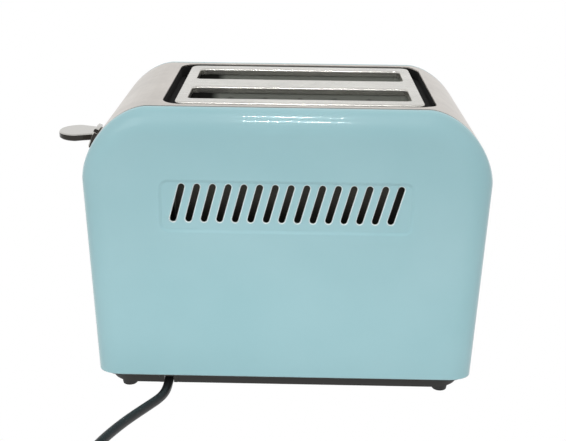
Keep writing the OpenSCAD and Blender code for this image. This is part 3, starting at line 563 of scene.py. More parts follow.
def stoved_enamel():
    """Stoved enamel on drawn steel: an opaque pale mint under a clear glossy coat."""
    material, tree, shader = new_material(
        "stoved_enamel", "#9ccad1", 0.38, IOR=1.5, Coat_Weight=1.0, Coat_Roughness=0.05,
        Coat_IOR=1.5)
    # Slow drift of the coat's thickness, about 60 mm across
    tint = ramp(tree, noise(tree, 16.0, 2.0), (0.3, linear("#98c7ce")), (0.7, linear("#9ecbd2")))
    # Painted highlight: a pale line painted along the vents' rolled edges, on the points that
    # carry the edge attribute
    edge = add(tree, "Attribute", {"attribute_name": "edge"})
    painted_rim_highlight = add(tree, "Mix", {"data_type": "RGBA"}, i0=edge.outputs["Fac"], i6=tint,
                i7=linear("#e4f2f2"))
    # Orange peel of the sprayed coat, about 3 mm across
    peel = add(tree, "Bump", Height=noise(tree, 300.0, 1.0), Strength=0.05,
               Distance=0.0002)
    wire(tree, shader, Base_Color=painted_rim_highlight.outputs[2], Coat_Normal=peel)
    return material


def seam_strip(name, side):
    """A dark strip in the groove between the wrap and a panel: painted shade in the seam's narrow
    gap.
    """
    sheet = Sheet()
    sheet.strips([[sheet.point((BODY_X + x, side * y, z), (n.x, 0.0, n.y))
                   for x, z, n in outline(SEAM_IN)] for y in SEAM_SPAN])
    return sheet.piece(name, SEAM_T)


enamel = stoved_enamel()
for side, word in SIDES:
    panel = panel_sheet("enamel_panel_" + word, side)
    finish_mesh(panel, enamel, slot="mint_enamel", replaces=("side_panel_" + word,))


# The wrap: one sheet of brushed stainless steel, bent over both ends and the
# top, with the big opening and the holes for the lever, knob and buttons.
BAND_T = 0.8 * MM
BAND_Y = band_high[1]
SLOT_X = BODY_X + 7.0 * MM
OPENING_L = 169.0 * MM
OPENING_W = 121.0 * MM
OPENING_R = 12.0 * MM
LEVER_SLOT = (77.5 * MM, 162.5 * MM, 2.0 * MM)
KNOB_HOLE = (48.0 * MM, 0.0, 4.5 * MM)
BUTTON_HOLES = [((88.0 + 16.0 * k) * MM, 31.0 * MM, 5.4 * MM) for k in (-1, 0, 1)]
HOLE_CLEAR = 1.2 * MM
# The wrap's line with its running length, from the right foot to the left
wrap_line = outline(0.0, 60, 12, 40)
wrap_run = [0.0]
for a, b in zip(wrap_line, wrap_line[1:]):
    wrap_run.append(wrap_run[-1] + math.hypot(b[0] - a[0], b[1] - a[1]))


def on_wrap(s, y):
    """The place and normal on the wrap at a running length and a distance across."""
    i = 0
    while i < len(wrap_run) - 2 and wrap_run[i + 1] < s:
        i += 1
    share = (s - wrap_run[i]) / (wrap_run[i + 1] - wrap_run[i])
    a, b = wrap_line[i], wrap_line[i + 1]
    normal = a[2].lerp(b[2], share).normalized()
    x = a[0] + (b[0] - a[0]) * share
    z = a[1] + (b[1] - a[1]) * share
    return (BODY_X + x, y, z), (normal.x, 0.0, normal.y)


def run_at(value, axis):
    """The running length on the top at an x, or on the left end at a z."""
    for i in range(len(wrap_line) - 1):
        a, b = wrap_line[i], wrap_line[i + 1]
        wanted = a[1] > WAIST_Z if axis == 0 else a[0] < 0
        if wanted and a[axis] >= value >= b[axis] and a[axis] > b[axis]:
            share = (a[axis] - value) / (a[axis] - b[axis])
            return wrap_run[i] + share * (wrap_run[i + 1] - wrap_run[i])
    return 0.0


def dense_ring(ring, step):
    """A closed ring with points no further apart than about a step."""
    dense = []
    for (s0, y0), (s1, y1) in zip(ring, ring[1:] + ring[:1]):
        parts = max(1, int(math.hypot(s1 - s0, y1 - y0) / step))
        dense += [(s0 + (s1 - s0) * k / parts, y0 + (y1 - y0) * k / parts) for k in range(parts)]
    return dense


def wrap_holes():
    """The holes in the flat wrap, as rings of (run, y)."""
    opening = [(run_at(SLOT_X - BODY_X + x, 0), y)
               for x, y in rounded_ring(OPENING_L, OPENING_W, OPENING_R, 8)]
    low, high, radius = LEVER_SLOT
    lever = []
    for end, run in ((-1, run_at(high, 1) + radius), (1, run_at(low, 1) - radius)):
        for i in range(9):
            a = math.pi * i / 8
            lever.append((run + end * radius * math.sin(a), -end * radius * math.cos(a)))
    holes = [dense_ring(opening, 4 * MM), dense_ring(lever, 3 * MM)]
    for z, y, r in [KNOB_HOLE] + BUTTON_HOLES:
        run = run_at(z, 1)
        holes.append([(run + r * math.cos(math.tau * i / 28), y + r * math.sin(math.tau * i / 28))
                      for i in range(28)])
    return holes


def wrap_piece():
    """Triangulates the flat wrap round its holes and bends it."""
    holes = wrap_holes()
    across = [BAND_Y * (-1 + 2 * k / 24) for k in range(1, 24)]
    border = [(s, -BAND_Y) for s in wrap_run] + [(wrap_run[-1], y) for y in across]
    border += [(s, BAND_Y) for s in reversed(wrap_run)] + [(0.0, y) for y in reversed(across)]
    near = [p for hole in holes for p in hole]
    loose = [(s, y) for s in wrap_run[1:-1] for y in across
             if min(math.dist((s, y), p) for p in near) > HOLE_CLEAR
             and not any(inside((s, y), hole) for hole in holes)]
    spots, _, triangles = triangulate([border] + holes, loose)
    sheet = Sheet()
    for spot in spots:
        sheet.point(*on_wrap(spot.x, spot.y))
    sheet.faces = triangles
    return sheet.piece("steel_wrap", BAND_T)


def brushed_stainless(name, along, colour, rough):
    """Brushed stainless steel: fine parallel scratches that stretch its highlights."""
    material, tree, shader = new_material(name, colour, rough, Metallic=1.0)
    # Scratches about 0.7 mm apart, drawn coarse enough to show
    stretch = [18.0 if axis == along else 1400.0 for axis in range(3)]
    scratch = noise(tree, 1.0, 4.0, stretch, 0.65)
    level = add(tree, "MapRange", Value=scratch, i3=rough - 0.06, i4=rough + 0.1)
    # Cloudy handling marks, about 30 mm across, over a speckle of about 2 mm
    dull = [c * 0.86 for c in linear(colour)[:3]] + [1.0]
    tint = ramp(tree, noise(tree, 35.0, 8.0, rough=0.75), (0.36, dull), (0.62, linear(colour)))
    wire(tree, shader, Base_Color=tint, Roughness=level,
         Normal=add(tree, "Bump", Height=scratch, Strength=0.2, Distance=0.0001))
    return material


wrap_steel = brushed_stainless("brushed_stainless_wrap", 1, "#d9d3cc", 0.32)
finish_mesh(wrap_piece(), wrap_steel, slot="brushed_steel", replaces=("top_band",))


# The slot frame: pressed stainless steel with rolled edges, so that each edge
# carries a bright line. It sits in the opening on the surround's inner wall.
frame_low, frame_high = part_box("slot_frame")
FRAME_R = 6.0 * MM
SLOT_L = 140.0 * MM
SLOT_W = 33.0 * MM
SLOT_Y = 28.2 * MM
SLOT_R = 4.0 * MM
EDGE_R = 1.2 * MM
FRAME_RIM = 3.2 * MM
FRAME_T = 0.8 * MM
frame_x = (frame_high[0] + frame_low[0]) / 2


def frame_piece():
    """The plate with its rolled rim and two lipped slots."""
    sheet = Sheet()
    length = frame_high[0] - frame_low[0]
    width = frame_high[1] - frame_low[1]
    top = frame_high[2]

    def ring(cy, l, w, r, z, out, up):
        """One ring of points; out is the normal's share away from the ring's middle."""
        core = rounded_ring(l - 2 * r, w - 2 * r, CORE / 10, 6)
        return [sheet.point((frame_x + x, cy + y, z), (n.x, n.y, up))
                for x, y, n in leaning(rounded_ring(l, w, r, 6), core, out)]

    def rolled(cy, l, w, r, sign, reach):
        """Rings over a rolled edge, from the flat down into the lip."""
        rings = []
        for a in quarter(6):
            grow = sign * EDGE_R * (math.sin(a) - 1)
            rings.append(ring(cy, l + 2 * grow, w + 2 * grow, r + grow,
                              top - EDGE_R * (1 - math.cos(a)), sign * math.sin(a), math.cos(a)))
        rings.append(ring(cy, l, w, r, reach, sign, 0.0))
        sheet.strips(rings, closed=True)
        return rings[0]

    rim = rolled(0.0, length, width, FRAME_R, 1, top - FRAME_RIM)
    holes = [rolled(s * SLOT_Y, SLOT_L, SLOT_W, SLOT_R, -1, frame_low[2]) for s in (-1, 1)]
    sheet.fill([rim] + holes)
    return sheet.piece("slot_frame_plate", FRAME_T)


frame_steel = brushed_stainless("brushed_stainless_frame", 0, "#e2e0da", 0.26)
finish_mesh(frame_piece(), frame_steel, slot="brushed_steel", replaces=("slot_frame",))


# The slot liners: zinc-plated sheet that the heat has dulled, one sleeve hung in
# each slot, with a row of round dimples pressed into its long walls.
liner_low, liner_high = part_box("slot_liners")
LINER_T = 0.6 * MM
LINER_GAP = 0.95 * MM
DIMPLE_N = 5
DIMPLE_PITCH = 22.8 * MM
DIMPLE_R = 3.2 * MM
DIMPLE_D = 1.4 * MM
DIMPLE_Z = 181.8 * MM
# Where the liners' colour turns darker towards their left end
DARK_END_X = (frame_x - 58.0 * MM, frame_x - 52.0 * MM)


def dimple(x, z):
    """The dimple's depth at a place on a long wall, and its slopes along x and z."""
    for i in range(DIMPLE_N):
        dx = x - (i - (DIMPLE_N - 1) / 2) * DIMPLE_PITCH
        dz = z - DIMPLE_Z
        far = math.hypot(dx, dz)
        if far < DIMPLE_R:
            angle = math.pi * far / DIMPLE_R
            fall = -DIMPLE_D * math.pi / (2 * DIMPLE_R) * math.sin(angle) / max(far, 1e-9)
            return DIMPLE_D * (1 + math.cos(angle)) / 2, fall * dx, fall * dz
    return 0.0, 0.0, 0.0


def liner_piece(name, side):
    """One dimpled sleeve; its skin is the side that faces the bread."""
    sheet = Sheet()
    length = SLOT_L + 2 * LINER_GAP
    width = SLOT_W + 2 * LINER_GAP
    radius = SLOT_R + LINER_GAP
    shape = dense_ring(rounded_ring(length, width, radius, 4), 1.0 * MM)
    levels = 17
    rows = []
    for k in range(levels):
        z = liner_low[2] + (liner_high[2] - liner_low[2]) * k / (levels - 1)
        row = []
        for x, y in shape:
            cx = max(-length / 2 + radius, min(length / 2 - radius, x))
            cy = max(-width / 2 + radius, min(width / 2 - radius, y))
            away = Vector((x - cx, y - cy)).normalized()
            depth, slope_x, slope_z = dimple(x, z) if abs(away.y) > 0.99 else (0.0, 0.0, 0.0)
            row.append(sheet.point((frame_x + x, side * SLOT_Y + y + away.y * depth, z),
                                   (-away.x + slope_x, -away.y, slope_z)))
        rows.append(row)
    sheet.strips(rows, closed=True)
    return sheet.piece(name, LINER_T)


def plated_sheet(name, colour, rough):
    """Zinc-plated sheet: grey metal with a soft spangle about 8 mm across."""
    material, tree, shader = new_material(name, colour, rough, Metallic=1.0)
    spangle = add(tree, "TexVoronoi", Vector=object_place(tree), Scale=120.0)
    level = add(tree, "MapRange", Value=spangle.outputs["Distance"], i3=rough - 0.05,
                i4=rough + 0.12)
    wire(tree, shader, Roughness=level)
    return material


def dulled_with_dark_end(colour):
    """Plated sheet that the heat has dulled all over, its colour darker towards its left end."""
    material = plated_sheet("dulled_liner_sheet", colour, 0.5)
    tree = material.node_tree
    apart = add(tree, "SeparateXYZ", Vector=object_place(tree))
    towards_dark_end = add(tree, "MapRange", Value=apart, i1=DARK_END_X[0], i2=DARK_END_X[1])
    shade = add(tree, "Mix", {"data_type": "RGBA"}, i0=towards_dark_end, i6=linear("#1a1a17"),
                i7=linear(colour))
    wire(tree, tree.nodes["Principled BSDF"], Metallic=0.35, Base_Color=shade.outputs[2])
    return material


dark_zinc = dulled_with_dark_end("#9a9d95")
finish_mesh(liner_piece("liner_front", -1), dark_zinc, slot="zinc_steel",
            replaces=("slot_liners",))
finish_mesh(liner_piece("liner_back", 1), dark_zinc, slot="zinc_steel")


# The surround and the heat shields: a black heat-resisting moulding that fills
# the opening as a trench, and plain dulled sheets behind the vents.
def moulded_black(name, colour, rough):
    """Moulded black plastic: dull, with a fine grain about 1 mm across."""
    return grained(name, colour, rough, 900.0, 0.2, 0.0001, IOR=1.49)


def dress(names, material):
    """Gives CAD nodes their material, on their own slots."""
    for name in names:
        data = nodes[name].data
        data.materials.clear()
        data.materials.append(material)


# A black strip along each seam between the wrap and a panel: painted shade for the dark of the
# narrow gap
seam_shade_black = moulded_black("painted_seam_shade", "#0b0b0a", 0.7)
for side, word in SIDES:
    finish_mesh(seam_strip("painted_shade_seam_" + word, side), seam_shade_black, slot="rubber")
dress(["top_surround"], moulded_black("moulded_black_trench", "#070706", 0.85))
dress(["heat_shield_front", "heat_shield_back"],
      plated_sheet("shield_sheet", "#5d5b55", 0.45))


# The base and its feet: one black moulding, with a lip under the casing's edge, a
# raised line and a gate round the cord, on four rubber feet pushed into its holes.
FEET = {"Span": Vector((208.0, 123.0, 0.0)) * MM, "Place": (BODY_X, 0.0, 0.0),
        "Height": 4.0 * MM, "Top Radius": 5.5 * MM, "Low Radius": 4.8 * MM,
        "Stub Radius": 2.75 * MM, "Stub Height": 2.4 * MM}
LIP_LOW = 12.6 * MM
LIP_HIGH = 14.9 * MM
LIP_IN = 0.8 * MM
LIP_W = 4.0 * MM
LIP_R = 17.0 * MM
GATE_BARS = ((-6.0, -2.85, 4.3), (3.45, 6.0, 4.3), (-6.0, 6.0, 9.9))
GATE_Y = (-69.2, -66.4)
GATE_TOP = 14.0


def node_tree(name, **kinds):
    """A Geometry Nodes tree with named inputs, and the outputs of its input node."""
    tree = bpy.data.node_groups.new(name, "GeometryNodeTree")
    tree.interface.new_socket("Result", in_out="OUTPUT", socket_type="NodeSocketGeometry")
    for kind, labels in (*kinds.items(), ("Vector", ["Place"]), ("Material", ["Material"])):
        for label in labels:
            tree.interface.new_socket(label, in_out="INPUT", socket_type="NodeSocket" + kind)
    return tree, add(tree, "NodeGroupInput").outputs


def join(tree, *parts):
    """Several geometries as one."""
    joined = add(tree, "JoinGeometry")
    for part in parts:
        wire(tree, joined, i0=part)
    return joined


def close_tree(tree, given, part):
    """Moves a part to its place, makes it real and gives it the material."""
    placed = add(tree, "Transform", Geometry=part, Translation=given["Place"])
    real = add(tree, "RealizeInstances", i0=placed)
    dressed = add(tree, "SetMaterial", Geometry=real, Material=given["Material"])
    add(tree, "NodeGroupOutput", i0=dressed)
    return tree


def vector_of(tree, x=0.0, y=0.0, z=0.0):
    """A vector from three values or links."""
    return add(tree, "ShaderNodeCombineXYZ", X=x, Y=y, Z=z)


def times(tree, value, share):
    """A value or link times a share."""
    return add(tree, "ShaderNodeMath", {"operation": "MULTIPLY"}, i0=value, i1=share)


def grown(tree, name, sizes, material, **finish):
    """Runs a tree with its inputs set and finishes the result as a plain mesh."""
    carrier = new_piece(name + "_carrier", bpy.data.meshes.new(name + "_carrier"))
    modifier = carrier.modifiers.new("grow", "NODES")
    modifier.node_group = tree
    for item in tree.interface.items_tree:
        if item.in_out == "INPUT":
            modifier[item.identifier] = material if item.name == "Material" else sizes[item.name]
    graph = bpy.context.evaluated_depsgraph_get()
    data = bpy.data.meshes.new_from_object(carrier.evaluated_get(graph))
    carrier.modifiers.remove(modifier)
    bpy.data.objects.remove(carrier)
    data.name = name
    piece = new_piece(name, data)
    shade_smooth(piece, 50)
    return finish_mesh(piece, material, **finish)


def feet_tree():
    """Four feet on the corners of a grid, each a cone and its stub."""
    tree, given = node_tree("feet", Vector=["Span"], Float=[
        "Height", "Top Radius", "Low Radius", "Stub Radius", "Stub Height"])
    span = add(tree, "ShaderNodeSeparateXYZ", Vector=given["Span"]).outputs
    grid = add(tree, "MeshGrid", Size_X=span[0], Size_Y=span[1], Vertices_X=2,
               Vertices_Y=2)
    foot = add(tree, "MeshCone", Vertices=32, Radius_Top=given["Top Radius"],
               Radius_Bottom=given["Low Radius"], Depth=given["Height"])
    stub = add(tree, "MeshCylinder", Vertices=20, Radius=given["Stub Radius"],
               Depth=given["Stub Height"])
    lift = add(tree, "Transform", Geometry=stub,
               Translation=vector_of(tree, z=given["Height"]))
    feet = add(tree, "InstanceOnPoints", Points=grid, Instance=join(tree, foot, lift))
    return close_tree(tree, given, feet)


def gate_piece():
    """Three bars round the cord, each from x to x and up from z: two beside and one over."""
    mesh = bmesh.new()
    for x0, x1, z in GATE_BARS:
        low = Vector((CORD_X + x0, GATE_Y[0], z))
        high = Vector((CORD_X + x1, GATE_Y[1], GATE_TOP))
        size = (high - low) * MM
        turn = Matrix.Translation((high + low) / 2 * MM)
        bmesh.ops.create_cube(mesh, size=1.0, matrix=turn @ Matrix.Diagonal((*size, 1.0)))
    data = bpy.data.meshes.new("cord_gate")
    mesh.to_mesh(data)
    mesh.free()
    return new_piece("cord_gate", data)


base_black = moulded_black("moulded_black_base", "#1d1c19", 0.42)
dress(["base"], base_black)
lip_rings = []
for z, inset in ((LIP_HIGH, LIP_IN), (LIP_LOW, LIP_IN), (LIP_LOW, LIP_IN + LIP_W),
                 (LIP_HIGH, LIP_IN + LIP_W), (LIP_HIGH, LIP_IN)):
    lip_rings.append([(BODY_X + x, y, z) for x, y in rounded_ring(
        2 * (FOOT_X - inset), 2 * (FACE_Y - inset), LIP_R - inset, 10)])
lip = lofted("base_lip", lip_rings, caps=False)
shade_smooth(lip, 40)
finish_mesh(lip, base_black, slot="black_moulding")
finish_mesh(gate_piece(), base_black, slot="black_moulding")
rubber_black = moulded_black("moulded_rubber", "#1c1b1a", 0.6)
dress(["strain_relief"], rubber_black)
grown(feet_tree(), "rubber_feet", FEET, rubber_black, slot="rubber", replaces=("feet",))


# The lever's handle, the buttons and the knob: a zinc casting and pressed caps
# under bright chrome, and a fluted black knob on its shaft.
LEVER_REACH = 29.0 * MM
LEVER_R = 13.0 * MM
LEVER_LOW = 153.6 * MM
LEVER_HIGH = 158.2 * MM
LEVER_BEVEL = 0.7 * MM
LEVER_ROOT = BODY_X - END_X - 1.5 * MM
LEVER_NECK = 8.0 * MM
LEVER_LEAN = math.radians(22)
LEVER_PLATE_Z = 154.0 * MM
LEVER_PLATE_T = 1.5 * MM
LEVER_PLATE_L = 20.0 * MM
LEVER_PLATE_H = 14.5 * MM
LEVER_PLATE_R = 4.0 * MM
# The plate keeps as clear of the end as the CAD lever does
LEVER_PLATE_X = (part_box("lever_handle")[1][0] - LEVER_PLATE_H / 2 * math.sin(LEVER_LEAN)
                 - LEVER_PLATE_T * math.cos(LEVER_LEAN))


def polished_chrome(name, colour):
    """Chrome plate on a smooth casting: a sharp mirror over slight waves 8 mm across."""
    return grained(name, colour, 0.1, 120.0, 0.05, 0.0003, 1.0, Metallic=1.0)


def lever_piece(chrome, edge):
    """A thin oval tongue and the plate at its root; their edges take a darker chrome, a painted
    reflection of the dark room.
    """
    rings = []
    tip = BODY_X - END_X - LEVER_REACH
    for z, inset in ((LEVER_LOW, LEVER_BEVEL), (LEVER_LOW + LEVER_BEVEL, 0.0),
                     (LEVER_HIGH - LEVER_BEVEL, 0.0), (LEVER_HIGH, LEVER_BEVEL)):
        radius = LEVER_R - inset
        ring = [(tip + LEVER_R - radius * math.sin(math.pi * i / 32),
                 -radius * math.cos(math.pi * i / 32), z) for i in range(33)]
        ring += [(LEVER_ROOT, LEVER_NECK - inset, z), (LEVER_ROOT, inset - LEVER_NECK, z)]
        rings.append(ring)
    tongue = lofted("lever_tongue", rings)
    plate_rings = []
    lean = Vector((math.sin(LEVER_LEAN), 0.0, math.cos(LEVER_LEAN)))
    out = Vector((-math.cos(LEVER_LEAN), 0.0, math.sin(LEVER_LEAN)))
    middle = Vector((LEVER_PLATE_X, 0.0, LEVER_PLATE_Z))
    for along, inset in ((-LEVER_PLATE_T, 0.0), (LEVER_PLATE_T - LEVER_BEVEL, 0.0),
                         (LEVER_PLATE_T, LEVER_BEVEL)):
        shape = rounded_ring(LEVER_PLATE_L - 2 * inset, LEVER_PLATE_H - 2 * inset,
                             LEVER_PLATE_R - inset)
        plate_rings.append([middle + out * along + Vector((0, y, 0)) + lean * h
                            for y, h in shape])
    plate = lofted("lever_plate", plate_rings)
    for piece in (tongue, plate):
        shade_smooth(piece, 35)
        finish_mesh(piece, chrome, body="carriage", slot="chrome")
        # The second material, a darker chrome on the edge faces, is a painted reflection of the
        # dark room
        piece.data.materials.append(edge)
        for face in piece.data.polygons:
            level = face.normal.z > 0.5 if piece is tongue else face.normal.x < -0.5
            face.material_index = 0 if level or face.normal.z > 0.9 else 1
    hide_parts("lever_handle")


chrome = polished_chrome("polished_chrome", "#cfcdc8")
# The edges' darker chrome is a painted reflection of the dark room
lever_piece(chrome, polished_chrome("chrome_painted_dark_reflection", "#3b3936"))
dress(["cancel_button", "reheat_button", "defrost_button"], chrome)
dress(["browning_knob", "button_guide"], moulded_black("moulded_black_knob", "#1e1d1c", 0.35))


# The chassis and the carriage: zinc-plated sheet steel, pressed and screwed, with
# a ground rod for the carriage to run on and a coil spring to throw it back.
SPRING_LOW = 14.55 * MM
SPRING_HIGH = 103.95 * MM
SPRING_FOOT = (BODY_X - 86.0 * MM, 0.0, SPRING_LOW)
SPRING = {"Curls": 14.0, "Radius": 4.2 * MM, "Height": SPRING_HIGH - SPRING_LOW,
          "Wire Radius": 0.6 * MM, "Place": SPRING_FOOT}


def plain_finish(name, colour, rough, metal=0.0, grain=400.0):
    """A simple finish with a fine uneven grain."""
    return grained(name, colour, rough, grain, 0.15, 0.0002, Metallic=metal)


def spring_tree():
    """A round wire along a spiral."""
    tree, given = node_tree("spring", Float=["Curls", "Radius", "Height", "Wire Radius"])
    spiral = add(tree, "CurveSpiral", Resolution=20, Rotations=given["Curls"],
                 Start_Radius=given["Radius"], End_Radius=given["Radius"],
                 Height=given["Height"])
    wire_ring = add(tree, "CurvePrimitiveCircle", Resolution=8,
                    Radius=given["Wire Radius"])
    coil = add(tree, "CurveToMesh", Curve=spiral, Profile_Curve=wire_ring,
               Fill_Caps=True)
    return close_tree(tree, given, coil)


zinc = plated_sheet("zinc_plated_sheet", "#8e8d86", 0.35)
dress(["end_plate_left", "end_plate_right", "carriage", "rod_bracket", "crumb_tray",
       "base_screws", "potentiometer", "browning_shaft", "bread_rack_front",
       "bread_rack_back", "rack_tie"], zinc)
dress(["guide_rod"], plain_finish("ground_steel_rod", "#b8b8b5", 0.15, 1.0))
spring = grown(spring_tree(), "coil_spring", SPRING,
               plain_finish("spring_steel", "#6e6d69", 0.3, 1.0), slot="spring_steel",
               replaces=("return_spring",))
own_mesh(spring)


# The guards: plated wire welded in a row between a pivot rod and a top rail,
# one on each side of a slice, which swing in as the lever goes down.
GUARD_Y = {"outer": 46.0 * MM, "inner": 10.4 * MM}
GUARD_PIVOT = 38.0 * MM
RAIL_R = 1.2 * MM
WIRE_SPAN = SLOT_L - 6.0 * MM
GUARD = {"Count": 10, "Span": WIRE_SPAN, "Wire Radius": 0.9 * MM, "Rail Radius": RAIL_R,
         "Rail Length": WIRE_SPAN + 4.0 * MM, "Pivot Radius": 1.3 * MM}


def guard_tree():
    """A row of wires between two rods."""
    tree, given = node_tree("guard", Int=["Count"], Float=[
        "Span", "Height", "Wire Radius", "Rail Radius", "Rail Length", "Pivot Radius",
        "Pivot Length"])
    half = times(tree, given["Height"], 0.5)
    ends = [vector_of(tree, times(tree, given["Span"], share), 0.0, half)
            for share in (-0.5, 0.5)]
    row = add(tree, "MeshLine", {"mode": "END_POINTS"}, Count=given["Count"],
              Start_Location=ends[0], Offset=ends[1])
    upright = add(tree, "MeshCylinder", Vertices=12, Radius=given["Wire Radius"],
                  Depth=given["Height"])
    parts = [add(tree, "InstanceOnPoints", Points=row, Instance=upright)]
    for word, high in (("Rail", given["Height"]), ("Pivot", 0.0)):
        rod = add(tree, "MeshCylinder", Vertices=14, Radius=given[word + " Radius"],
                  Depth=given[word + " Length"])
        parts.append(add(tree, "Transform", Geometry=rod,
                         Translation=vector_of(tree, z=high), Rotation=(0, math.pi / 2, 0)))
    return close_tree(tree, given, join(tree, *parts))


plated_wire = plain_finish("plated_wire", "#77766f", 0.3, 1.0)
row_of_wires = guard_tree()
for side, word in SIDES:
    for place_word, guard_y in GUARD_Y.items():
        node = "guard_" + word + "_" + place_word
        low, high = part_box(node)
        grown(row_of_wires, "wire_" + node,
              {**GUARD, "Height": high[2] - RAIL_R - GUARD_PIVOT, "Pivot Length": high[0] - low[0],
               "Place": ((low[0] + high[0]) / 2, side * guard_y, GUARD_PIVOT)},
              plated_wire, body=node, slot="guard_wire", replaces=(node,))


# The heaters: a mica card with a nickel-chrome ribbon wound round it, its ends
# in slits of the chassis plates; two for each slot.
RIBBON_N = 11
RIBBON_W = 1.8 * MM
RIBBON_T = 0.25 * MM
RIBBON_IN = 6.8 * MM
CARD_T = 0.6 * MM
CARD_TAB_L = 3.2 * MM
CARD_TAB_H = 12.0 * MM
# Shares of the card's height and of a pitch: the tabs' rise, the spare, the first turn
TAB_RISE = 0.3
PITCH_SPARE = 0.4
PITCH_FIRST = 0.7


def card_tree():
    """A card with a tab near the foot and the head of each end."""
    tree, given = node_tree("card", Vector=["Card", "Tab"], Float=["Tab Rise"])
    parts = [add(tree, "MeshCube", Size=given["Card"])]
    for sign in (-1.0, 1.0):
        rise = vector_of(tree, z=times(tree, given["Tab Rise"], sign))
        tab = add(tree, "MeshCube", Size=given["Tab"])
        parts.append(add(tree, "Transform", Geometry=tab, Translation=rise))
    return close_tree(tree, given, join(tree, *parts))


def ribbon_tree():
    """Turns of flat ribbon at an even pitch."""
    tree, given = node_tree("ribbon", Int=["Count"], Vector=["Turn"], Float=["Pitch"])
    row = add(tree, "MeshLine", Count=given["Count"],
              Offset=vector_of(tree, z=given["Pitch"]))
    turn = add(tree, "MeshCube", Size=given["Turn"])
    turns = add(tree, "InstanceOnPoints", Points=row, Instance=turn)
    return close_tree(tree, given, turns)


mica = plain_finish("mica_card", "#8b7c5e", 0.45, 0.0, 150.0)
nichrome = plain_finish("nickel_chrome_ribbon", "#7d7872", 0.35, 1.0)
card_shape = card_tree()
ribbon_shape = ribbon_tree()
for word in ("front_outer", "front_inner", "back_inner", "back_outer"):
    node = "heater_" + word
    low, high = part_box(node)
    middle = (Vector(low) + Vector(high)) / 2
    card_h = high[2] - low[2]
    card_l = high[0] - low[0] - 2 * CARD_TAB_L
    pitch = card_h / (RIBBON_N + PITCH_SPARE)
    grown(card_shape, "mica_" + word,
          {"Card": (card_l, CARD_T, card_h), "Tab": (high[0] - low[0], CARD_T, CARD_TAB_H),
           "Tab Rise": TAB_RISE * card_h, "Place": middle},
          mica, slot="mica", replaces=(node,))
    grown(ribbon_shape, "ribbon_" + word,
          {"Count": RIBBON_N, "Pitch": pitch,
           "Turn": (card_l - 2 * RIBBON_IN, CARD_T + 2 * RIBBON_T, RIBBON_W),
           "Place": (middle[0], middle[1], low[2] + PITCH_FIRST * pitch)},
          nichrome, slot="mica")


# The magnet, the board and the mains parts: laminated iron, enamelled copper,
# an epoxy board, a cream terminal block and nickel-plated blades.
dress(["magnet_core", "keeper_plate"], plain_finish("soft_iron", "#5d5b57", 0.45, 1.0))
dress(["magnet_coil"], plain_finish("copper_winding", "#9c4f2b", 0.35, 1.0, 900.0))
dress(["control_board"], plain_finish("epoxy_board", "#2c5a38", 0.4))
dress(["terminal_block"], plain_finish("cream_thermoset", "#d6cfbd", 0.4))
dress(["plug_blades"], plain_finish("nickel_brass", "#cfc6a4", 0.2, 1.0))


# The set: a white floor and sky, two thin strip lamps that draw the photograph's
# bright lines on the shoulder, and a broad soft lamp.
FLOOR_LEVEL = 0.4
FLOOR_HALF = 6
SKY_LEVEL = 0.0
ZENITH_LEVEL = 1.25
MIRROR_LEVELS = (0.95, 0.72)
SHOULDER = Vector((BODY_X, -0.070, 0.188))
STRIP_FAR = 1.2
STRIP_SIZE = (0.19, 0.012)
STRIP_POWER = 1.2
STRIP_RISES = (55.0, 34.0)


def stage_white():
    """White to the camera and in reflections, a plain pale floor for shadows."""
    material = bpy.data.materials.new("stage_white")
    material.use_nodes = True
    tree = material.node_tree
    tree.nodes.clear()
    path = add(tree, "LightPath")
    seen = add(tree, "Math", {"operation": "MAXIMUM"}, i0=path.outputs["Is Camera Ray"],
               i1=path.outputs["Is Glossy Ray"])
    floor = add(tree, "BsdfDiffuse", Color=(FLOOR_LEVEL, FLOOR_LEVEL, FLOOR_LEVEL, 1))
    white = add(tree, "Emission", Color=(1, 1, 1, 1))
    add(tree, "OutputMaterial",
        Surface=add(tree, "MixShader", i0=seen, i1=floor, i2=white))
    return material


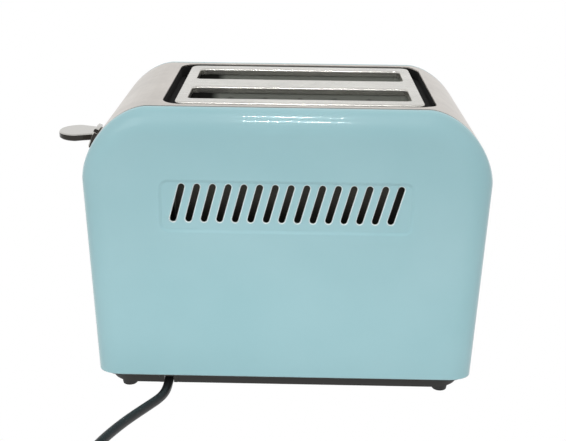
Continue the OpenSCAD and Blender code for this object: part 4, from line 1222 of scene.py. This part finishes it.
floor_data = bpy.data.meshes.new("floor")
floor_data.from_pydata([(FLOOR_HALF * x, FLOOR_HALF * y, 0)
                        for x, y in ((-1, -1), (1, -1), (1, 1), (-1, 1))], [], [(0, 1, 2, 3)])
floor_data.materials.append(stage_white())
new_piece("floor", floor_data)

world = bpy.data.worlds.new("studio")
bpy.context.scene.world = world
world.use_nodes = True
sky = world.node_tree
sky.nodes.clear()
rays = add(sky, "LightPath")
heading = add(sky, "TexCoord").outputs["Generated"]
height = add(sky, "SeparateXYZ", Vector=heading).outputs["Z"]
level = add(sky, "MapRange", Value=height, i3=SKY_LEVEL, i4=ZENITH_LEVEL)
mirrored = add(sky, "MapRange", Value=height, i3=MIRROR_LEVELS[0], i4=MIRROR_LEVELS[1])
level = add(sky, "Mix", i0=rays.outputs["Is Glossy Ray"], i2=level, i3=mirrored)
dim = add(sky, "Background", Color=(1, 1, 1, 1), Strength=level)
bright = add(sky, "Background", Color=(1, 1, 1, 1))
add(sky, "OutputWorld", Surface=add(
    sky, "MixShader", i0=rays.outputs["Is Camera Ray"], i1=dim, i2=bright))


def soft_lamp(name, place, aim, size, power):
    """An area lamp at a place, turned to a point."""
    data = bpy.data.lights.new(name, "AREA")
    data.shape = "RECTANGLE"
    data.size, data.size_y = size
    data.energy = power
    lamp = new_piece(name, data)
    heading = Vector(aim) - Vector(place)
    lamp.matrix_world = (Matrix.Translation(place)
                         @ heading.to_track_quat("-Z", "Y").to_matrix().to_4x4())
    return lamp


for rise in STRIP_RISES:
    heading = Vector((0.0, -math.cos(math.radians(rise)), math.sin(math.radians(rise))))
    soft_lamp("strip_%d" % rise, SHOULDER + heading * STRIP_FAR, SHOULDER, STRIP_SIZE,
              STRIP_POWER)
soft_lamp("lamp_front", (-0.9, -1.5, 1.1), (0, 0, 0.1), (0.9, 0.9), 2.2)
bounce = soft_lamp("table_bounce", (-0.03, -0.3, 0.03), (-0.03, -0.07, 0.03), (0.5, 0.05), 0.3)
bounce.visible_camera = False
bounce.visible_glossy = False

bpy.context.scene.view_settings.view_transform = "Standard"
